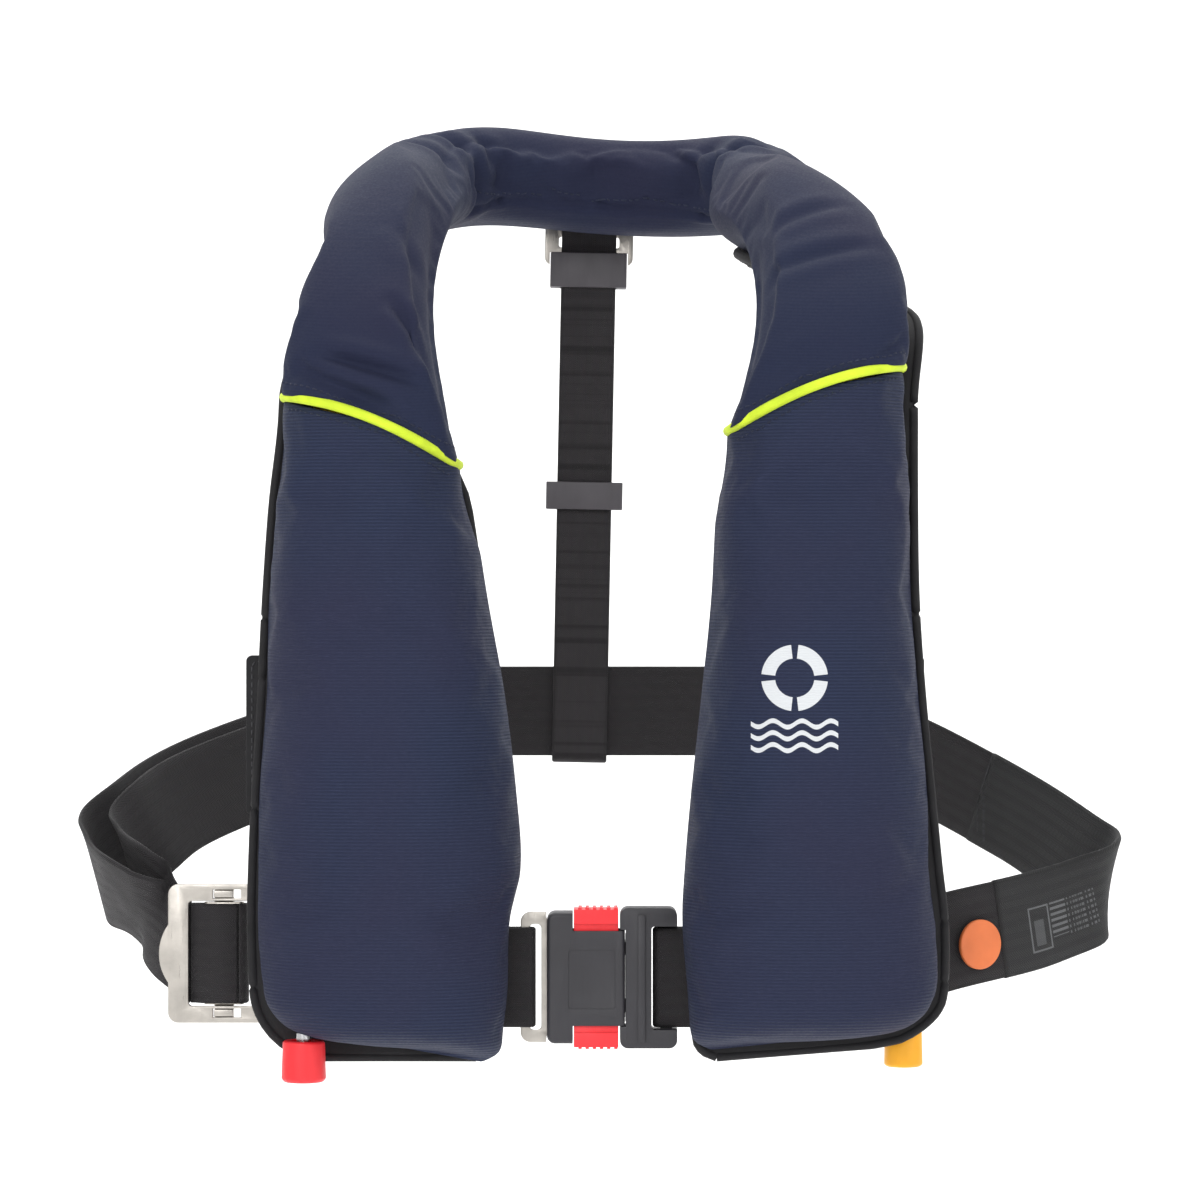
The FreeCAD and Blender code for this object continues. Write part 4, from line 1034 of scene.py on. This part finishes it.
def arc(centre, radius, start, end, count, plane):
    """Points round an arc, in degrees, placed by plane(a, b)."""
    found = []
    for i in range(count):
        angle = math.radians(start + (end - start) * i / (count - 1))
        found.append(plane(centre[0] + radius * math.cos(angle), centre[1] + radius * math.sin(angle)))
    return found


def bend(centre, radius, start, end, z0, z1, count):
    """Control points round an upright bend of the belt, from one compass angle to another, rising evenly."""
    shares = iter(np.linspace(0, 1, count))
    return arc(centre, radius, start, end, count, lambda x, y: Vector((x, y, z0 + (z1 - z0) * next(shares))))


def belt_left_route():
    """Control points from behind the left lobe, round the side and up to the back."""
    route = [(0.1163, FRONT_Y + 0.0033, FRONT_Z), (0.126, FRONT_Y + 0.0047, -0.3785),
             (0.136, -0.1198, -0.3755), (0.152, -0.1166, -0.3700), (0.172, -0.108, -0.3645),
             (0.198, -0.095, -0.3600), (0.220, -0.0815, -0.3560), (0.238, -0.0695, -0.3510)]
    points = [Vector(p) for p in route] + bend((0.2425, -0.0515), 0.0165, -58, 68, -0.3465, -0.3310, 6)
    route = [(0.228, -0.008, -0.314), (0.205, 0.014, -0.301), (0.178, 0.040, -0.286),
             (0.148, 0.068, -0.272), (0.118, 0.093, -0.263), (0.096, 0.107, -0.2585),
             (0.078, 0.116, -0.2566), (0.0603, BACK_BELT.y, BACK_BELT.z)]
    return points + [Vector(p) for p in route]


def belt_right_route():
    """Control points from the adjuster, round the right side and up to the back."""
    route = [(0.0148, 0.0031, 0), (0.0120, 0.0032, 0.0002), (0.0085, 0.0047, 0.0026),
             (0.0040, 0.0082, 0.0072), (-0.0020, 0.0127, 0.0126), (-0.0090, 0.0177, 0.0180),
             (-0.0180, 0.0247, 0.0238), (-0.0270, 0.0347, 0.0284)]
    points = [Vector((FRAME_EDGE + x, FRONT_Y + y, ADJ_Z + z)) for x, y, z in route]
    points += bend((-0.2275, -0.066), 0.028, 212, 115, -0.3385, -0.3110, 6)
    route = [(-0.230, -0.020, -0.3020), (-0.212, 0.008, -0.2915), (-0.182, 0.040, -0.280),
             (-0.148, 0.070, -0.2685), (-0.118, 0.093, -0.2615), (-0.096, 0.107, -0.2580),
             (-0.078, 0.116, -0.2566), (-0.0603, BACK_BELT.y, BACK_BELT.z)]
    return points + [Vector(p) for p in route]


def belt_tail_route():
    """Control points from the adjuster out and back along the inside of the belt."""
    route = [(0.0148, 0.00695, 0.002), (0.0120, 0.0072, 0.0035), (0.0085, 0.0095, 0.0080),
             (0.0040, 0.0138, 0.0150), (-0.0020, 0.0198, 0.0215), (-0.0075, 0.0270, 0.0280),
             (-0.0120, 0.0345, 0.0330)]
    points = [Vector((FRAME_EDGE + x, FRONT_Y + y, ADJ_Z + z)) for x, y, z in route]
    points += bend((-0.2155, -0.070), 0.0225, 205, 120, -0.3330, -0.3100, 5)
    route = [(-0.2195, -0.036, -0.3025), (-0.206, -0.018, -0.2950), (-0.184, 0.003, -0.2865),
             (-0.160, 0.028, -0.278)]
    return points + [Vector(p) for p in route]


FRONT_LEG = -0.07                        # in front of this y the belt is on its way to the frame


def past(p, low, high):
    """0 up to a distance outside the adjuster frame's outer edge, 1 from another on."""
    return ease(FRAME_EDGE - p.x, low, high)


def past_frame(p):
    """0 behind the adjuster frame and 1 where the belt has come out past it."""
    if p.y > FRONT_LEG or p.x > FRAME_EDGE + 0.02:
        return 1
    return past(p, -0.006, 0.008)


def belt_lean(p):
    """How far the belt's top tips outward: most on the front leg of the wearer's right side."""
    if p.y < -0.066:
        right = (0.50 - 0.24 * ease(p.y, -0.105, -0.066)) * past(p, -0.004, 0.014)
    else:
        right = 0.26 * ease(-p.x, 0.120, 0.250)
    return right + 0.16 * ease(p.x, 0.215, 0.250)


def tail_lean(p):
    """How far the loose tail's top tips outward."""
    return 0.30 * (past(p, -0.002, 0.014) if p.y < FRONT_LEG else ease(-p.x, 0.120, 0.232))


def build_belt():
    """The waist belt from the tongue round the wearer to the adjuster, in one piece, and its loose tail."""
    low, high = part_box("belt_front_left")
    half = (high.y - low.y) / 2 - WEB_T / 2
    turn_x = low.x + WEB_T / 2 + half

    def level(x, y):
        return Vector((x, FRONT_Y + y, FRONT_Z))
    fold = [level(0.092, -half)] + [level(turn_x + 0.004 * i, -half) for i in range(8, 0, -1)]
    fold += arc((turn_x, 0), half, 270, 90, 13, level)
    fold += [level(turn_x + 0.004 * i, half) for i in range(1, 9)]
    left = smooth_curve(belt_left_route(), 150)
    back = [Vector((0.0603 - 0.1206 * t, BACK_BELT.y, BACK_BELT.z)) for t in np.linspace(0.03, 0.97, 24)]
    right = list(reversed(smooth_curve(belt_right_route(), 150)))
    line = fold + [level(turn_x + 0.032 + 0.0065 * i, half) for i in range(1, 7)] + left + back + right
    line = [p for p, q in zip(line, line[1:] + [None]) if q is None or (p - q).length > 1e-5]
    belt = ribbon("waist_belt", line, WEB_W, WEB_T, lean=belt_lean, even=lambda p: 14 if p.x < -0.15 else 1,
                  follow=past_frame)
    use_material(belt, material["belt"])
    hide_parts("belt_front_left", "belt_side_left", "belt_back", "belt_side_right")
    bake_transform(belt)

    tail = ribbon("belt_tail_end", smooth_curve(belt_tail_route(), 90), WEB_W, WEB_T,
                  lean=tail_lean, even=lambda p: 10, follow=past_frame)
    dress(tail, "belt", "black_webbing", "right_belt", "belt_tail")
    return left


def build_label(left):
    """The printed sleeve on the belt's left side, a thin wrap that is sewn down at its front end."""
    run = [p for p in left if p.x > 0.199 and p.y < 0.020]
    sleeve = ribbon("label_sleeve", even_spacing(run, 0.003), WEB_W + 0.0008, WEB_T + 0.0010, lean=belt_lean,
                    plain_back=True)
    dress(sleeve, "label", "black_webbing", "harness")
    return sleeve


def build_front_strap():
    """A loop of webbing from the receiver's plate, up behind the right lobe, to the adjuster's inner bar."""
    low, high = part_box("front_strap")
    half = (high.y - low.y) / 2 - WEB_T / 2
    x0, x1 = low.x + WEB_T / 2 + half, high.x - WEB_T / 2 - half

    def height(x):
        return FRONT_Z + (ADJ_Z - FRONT_Z) * ease(-x, 0.046, 0.125)

    def place(x, y):
        return Vector((x, FRONT_Y + y, height(x)))
    count = 40
    line = [place(x0 + (x1 - x0) * i / count, -half) for i in range(count)]
    line += arc((x1, 0), half, 270, 450, 13, place)
    line += [place(x1 + (x0 - x1) * i / count, half) for i in range(1, count)]
    line += arc((x0, 0), half, 90, 270, 13, place)
    strap = ribbon("front_strap_webbing", line, WEB_W, WEB_T)
    dress(strap, "belt", "black_webbing", "right_belt", "front_strap")


def build_adjuster_fold():
    """The belt's turn round the adjuster's sliding bar."""
    low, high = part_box("belt_adjuster_fold")
    bar_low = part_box("adjuster_bar")[0]
    front, rear = low.y + WEB_T / 2, high.y - WEB_T / 2
    half = (rear - front) / 2
    turn = high.x - WEB_T / 2 - half

    def place(x, y):
        return Vector((x, y, ADJ_Z))
    middle = (front + rear) / 2
    line = [place(low.x + 0.0002, middle), place(low.x + 0.0022, middle),
            place(low.x + 0.0036, middle - 0.0010), place(bar_low.x - 0.0010, front + 0.0012),
            place(bar_low.x + 0.0010, front + 0.0002)]
    line += [place(bar_low.x + 0.003 + (turn - bar_low.x - 0.003) * t, front - 0.0012 * math.sin(math.pi * t))
             for t in np.linspace(0, 1, 10)]
    line += arc((turn, middle), half, 270, 450, 15, place)
    line += [place(x, rear) for x in np.linspace(turn - 0.002, low.x + 0.0002, 10)]
    fold = ribbon("adjuster_fold_webbing", line, WEB_W, WEB_T)
    dress(fold, "belt", "black_webbing", "adjuster_slider", "belt_adjuster_fold")


def build_back_strap():
    """The narrow strap from the ring under the collar down to the belt, with its tail and the anchor loop."""
    low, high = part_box("back_strap")
    ring_low, ring_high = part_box("back_ring")
    y = (low.y + high.y) / 2
    half = (high.y - low.y) / 2 - WEB_T / 2
    top, bottom = high.z - WEB_T / 2 - half, low.z + WEB_T / 2 + half
    lean = math.tan(math.radians(1.1))   # the strap hangs a little askew
    wide = Vector((1, 0, -lean)).normalized()
    centre = (ring_low.x + ring_high.x) / 2

    def place(across, z):
        return Vector((centre + (z - 0.007) * lean, y + across, z))
    line = [place(half, z) for z in np.linspace(-0.165, top, 44)]
    line += arc((0, top), half, 0, 180, 13, place)[1:]
    line += [place(-half, z) for z in np.linspace(top, bottom, 70)[1:]]
    line += arc((0, bottom), half, 180, 360, 13, place)[1:]
    line += [place(half, z) for z in np.linspace(bottom, -0.222, 14)[1:]]
    strap = ribbon("back_strap_webbing", line, BACK_STRAP_W, WEB_T, across=wide)
    dress(strap, "strap", "black_webbing", "harness", "back_strap")


# ---- hard parts
def polished(node, look, slot, width):
    """The CAD part with its edges rounded, in place of the sharp one."""
    source = frame["nodes"][node]
    mesh = bmesh.new()
    mesh.from_mesh(source.data)
    bmesh.ops.remove_doubles(mesh, verts=mesh.verts, dist=1e-6)
    bmesh.ops.dissolve_limit(mesh, angle_limit=math.radians(0.6), verts=mesh.verts, edges=mesh.edges,
                             delimit={"NORMAL"})
    data = bpy.data.meshes.new(node + "_part")
    mesh.to_mesh(data)
    mesh.free()
    part = bpy.data.objects.new(node + "_part", data)
    bpy.context.scene.collection.objects.link(part)
    bevel = part.modifiers.new("edges", "BEVEL")
    bevel.width, bevel.segments = width, 3
    bevel.limit_method, bevel.angle_limit = "ANGLE", math.radians(28)
    bevel.use_clamp_overlap = True
    apply_modifiers(part)
    part.data.set_sharp_from_angle(angle=math.radians(40))
    dress(part, look, slot, BODY_OF[node], node)
    return part


BODY_OF = {n: body for body, names in frame["record"]["behaviour"]["bodies"].items() for n in names}
# look, slot, width of the rounded edge, and the parts that get them
POLISHED = [
    ("black_plastic", "black_plastic", 0.0007, ("buckle_receiver",)),
    ("black_plastic", "black_plastic", 0.0006, ("buckle_tongue",)),
    ("red", "red_plastic", 0.0004, ("release_button_upper", "release_button_lower")),
    ("steel", "steel", 0.0005, ("receiver_webbing_plate",)),
    ("steel", "steel", 0.0006, ("adjuster_frame",)),
    ("steel", "steel", 0.0005, ("adjuster_bar",)),
    ("steel", "steel", 0.0006, ("back_ring",)),
    ("grey_plastic", "grey_plastic", 0.0006, ("strap_keeper_upper", "strap_keeper_lower")),
    ("red", "red_plastic", 0.0005, ("pull_knob",)),
    ("yellow", "yellow_plastic", 0.0005, ("oral_tube_cap",)),
    ("bright_steel", "steel", 0.0003, ("knob_ferrule",)),
    ("orange", "orange_plastic", 0.0004, ("inspection_badge",)),
    ("tape", "black_fabric", 0.0005, ("tube_keeper_loop", "belt_tunnel_right", "belt_tunnel_left",
                                      "side_flap_right", "side_flap_left")),
    ("black_plastic", "black_plastic", 0.0003, ("oral_valve",)),
    ("tape", "black_webbing", 0.0005, ("collar_anchor_loop",)),
]
FINISH = {"navy_fabric": "cover", "black_fabric": "tape", "black_webbing": "tape", "lime_piping": "piping",
          "bladder_yellow": "bladder", "steel": "bright_steel", "black_plastic": "black_plastic",
          "grey_plastic": "grey_plastic", "red_plastic": "red", "yellow_plastic": "yellow",
          "orange_plastic": "orange", "white_salt": "salt", "red_cord": "cord"}


def finish_cad_nodes():
    """Every CAD part that stays gets its full material."""
    slot_of = {s["node"]: s["material_slot"] for s in frame["record"]["subparts"]}
    for name, obj in frame["nodes"].items():
        look = material["rubber"] if name == "oral_tube" else material[FINISH[slot_of[name]]]
        for place in obj.material_slots:
            place.material = look


def stitch_box(name, piece, low, high, y):
    """A rectangle of stitches sewn through a flat piece on the face at y."""
    inset = 0.003
    x0, x1, z0, z1 = low.x + inset, high.x - inset, low.z + inset, high.z - inset
    corners = [(x0, z0), (x1, z0), (x1, z1), (x0, z1), (x0, z0)]
    stitch_row(name, [Vector((x, y, z)) for x, z in corners], piece, pitch=0.0038, gauge="dark_thread",
               slot="black_fabric")


FROM_SEAM = 0.0062                       # from the lime piping to the row of stitches on either side


def build_stitching(parts):
    """The rows of thread that show on the covers, the collar, the flaps, the tunnels and the straps."""
    for side, word in SIDES:
        seam = seam_line(side)[6:-6]
        above = [p + Vector((0, -0.004, FROM_SEAM)) for p in seam]
        below = [p + Vector((0, -0.004, -FROM_SEAM)) for p in seam]
        stitch_row("yoke_stitches_" + word, above, shoulders)
        stitch_row("cover_stitches_" + word, below, covers[side])
        flap = parts["side_flap_" + word]
        low, high = piece_box(flap)
        stitch_box("flap_stitches_front_" + word, flap, low, high, low.y - 0.002)
        stitch_box("flap_stitches_back_" + word, flap, low, high, high.y + 0.002)
        tunnel = parts["belt_tunnel_" + word]
        low, high = piece_box(tunnel)
        stitch_box("tunnel_stitches_" + word, tunnel, low, high, high.y + 0.002)
    collar = [Vector(p) + Vector((0, -0.004, 0.0026)) for p in COLLAR_SEAM]
    stitch_row("collar_stitches", smooth_curve(collar, 40), shoulders)
    start = min(left_run, key=lambda p: abs(p.x - 0.201))
    for k, shift in enumerate((0.0, 0.0022)):
        place = start + Vector((shift * 0.9, -0.004 + shift * 0.45, 0))
        ends = [place + Vector((0, 0, h)) for h in (-0.0235, 0.0235)]
        stitch_row("label_stitches_" + str(k + 1), ends, sleeve,
                   pitch=0.0034, gauge="dark_thread", slot="black_webbing")
    stitch_row("label_stitches_back", [Vector((0.1985, 0.018, z)) for z in (-0.2725, -0.318)], sleeve,
               pitch=0.0034, gauge="dark_thread", slot="black_webbing")


def piece_box(piece):
    """The lowest and highest corner of a piece."""
    co = points_of(piece)
    return Vector(co.min(axis=0)), Vector(co.max(axis=0))


def build_pull_cord():
    """The short red cord from the lever's fork down into the knob, with a knot at each end."""
    low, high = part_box("pull_cord")
    radius, top_knot, end_knot = 0.0012, 0.0032, 0.0026
    x, y = (low.x + high.x) / 2, (low.y + high.y) / 2
    top, end = high.z - top_knot, low.z + end_knot
    curve = bpy.data.curves.new("pull_cord_line", "CURVE")
    curve.dimensions, curve.bevel_depth, curve.bevel_resolution = "3D", radius, 3
    spline = curve.splines.new("NURBS")
    spline.points.add(5)
    for point, z in zip(spline.points, np.linspace(top, end, 6)):
        point.co = (x, y, z, 1)
    spline.order_u, spline.use_endpoint_u = 3, True
    line = bpy.data.objects.new("pull_cord_line", curve)
    bpy.context.scene.collection.objects.link(line)
    dress(line, "cord", "red_cord", "pull", "pull_cord")
    for name, z, size in (("pull_cord_top_knot", top, top_knot), ("pull_cord_end_knot", end, end_knot)):
        turns = [2 * math.pi * k / 60 for k in range(61)]
        loop = [Vector((x + (math.sin(t) + 2 * math.sin(2 * t)) * (size - radius) / 3,
                        y + (math.cos(t) - 2 * math.cos(2 * t)) * (size - radius) / 3,
                        z - math.sin(3 * t) * (size - radius) * 0.6)) for t in turns]
        knot = tube_along(name, loop, radius)
        dress(knot, "cord", "red_cord", "pull")


def build_tongue_gap_plate():
    """A thin black plate in the joint between receiver and tongue, standing in both for the tongue's blade
    behind it and for the shade in that gap.
    """
    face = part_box("buckle_receiver")[1].x
    low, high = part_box("buckle_tongue")
    middle, half_y, half_z, corner = (low.y + high.y) / 2, 0.0019, 0.0215, 0.0003
    near, far = 0.0001, 0.0018
    profile = [(near, -half_y + corner), (near, half_y - corner), (near + corner, half_y), (far, half_y),
               (far, -half_y), (near + corner, -half_y)]
    rings = [[Vector((face + x, middle + y, z + FRONT_Z)) for x, y in profile]
             for z in np.linspace(-half_z, half_z, 9)]
    # painted shade: the black plate closes the see-through joint so that it reads dark, as the shaded gap
    # does
    rib = ring_mesh("tongue_gap_shade_plate", rings)
    dress(rib, "black_plastic", "black_plastic", "harness")


# ---- build
shoulders = build_shoulders()
build_bladder()
covers = {side: build_cover(side, word) for side, word in SIDES}
for side, word in SIDES:
    build_piping(side, word)
    build_panel(side, word)
left_run = build_belt()
sleeve = build_label(left_run)
build_front_strap()
build_adjuster_fold()
build_back_strap()
parts = {node: polished(node, look, slot, width) for look, slot, width, nodes in POLISHED for node in nodes}
FLAP_SHIFT = 0.0045                      # brings the left flap in line with the narrower left cover
set_points(parts["side_flap_left"], points_of(parts["side_flap_left"]) - (FLAP_SHIFT, 0, 0))
build_tongue_gap_plate()
build_pull_cord()
build_stitching(parts)
finish_cad_nodes()


# ---- stage, light and camera
def area_light(name, place, target, size, power):
    """A square soft light that faces the target."""
    light = bpy.data.lights.new(name, "AREA")
    light.shape, light.size, light.energy = "SQUARE", size, power
    obj = bpy.data.objects.new(name, light)
    bpy.context.scene.collection.objects.link(obj)
    obj.location = place
    obj.rotation_euler = (Vector(target) - Vector(place)).to_track_quat("-Z", "Y").to_euler()


def build_stage():
    """A pale floor that rises into a pale wall behind."""
    depth, height, radius, half = 3.0, 4.0, 1.2, 8.0
    floor = cad_box[0].z - 0.35
    profile = [(-6.0, floor)] + [(depth - radius + radius * math.sin(a), floor + radius * (1 - math.cos(a)))
                                 for a in np.linspace(0, math.pi / 2, 16)] + [(depth, height)]
    points = [Vector((x, y, z)) for y, z in profile for x in (-half, half)]
    faces = [(2 * i, 2 * i + 1, 2 * i + 3, 2 * i + 2) for i in range(len(profile) - 1)]
    stage = add_mesh("floor_and_wall", points, faces)
    m = Nodes("pale_floor", (0.92, 0.92, 0.92), 0.9)
    m.feed("Base Color", m.mix(m.noise(m.place(), 3.0), (0.91, 0.91, 0.91), (0.94, 0.94, 0.94)))
    stage.data.materials.append(m.material)


build_stage()
JACKET, BACKDROP = (0, -0.05, -0.19), (0, 3.0, 0)
for name, place, target, size, power in (
        ("key", (-0.9, -2.6, 0.9), JACKET, 1.8, 38), ("fill", (1.9, -2.0, 0.4), JACKET, 2.2, 15),
        ("back_left", (-1.6, 1.7, 1.2), JACKET, 1.6, 7), ("back_right", (1.6, 1.9, 0.8), JACKET, 1.6, 7),
        ("backdrop", (0, 1.2, 2.6), BACKDROP, 3.0, 90)):
    area_light(name, place, target, size, power)
world = bpy.data.worlds.new("studio")
world.use_nodes = True
sky = world.node_tree.nodes["Background"].inputs
sky["Color"].default_value, sky["Strength"].default_value = (1, 1, 1, 1), 0.75
bpy.context.scene.world = world
bpy.context.scene.view_settings.view_transform = "Standard"

camera = bpy.data.objects.new("camera", bpy.data.cameras.new("camera"))
bpy.context.scene.collection.objects.link(camera)
CAMERA_AWAY, CAMERA_HEIGHT = 2.232, -0.195
camera.location = (0, -CAMERA_AWAY, CAMERA_HEIGHT)
camera.rotation_euler = (math.pi / 2, 0, 0)
camera.data.sensor_width = 36
camera.data.lens = 128.3
bpy.context.scene.camera = camera
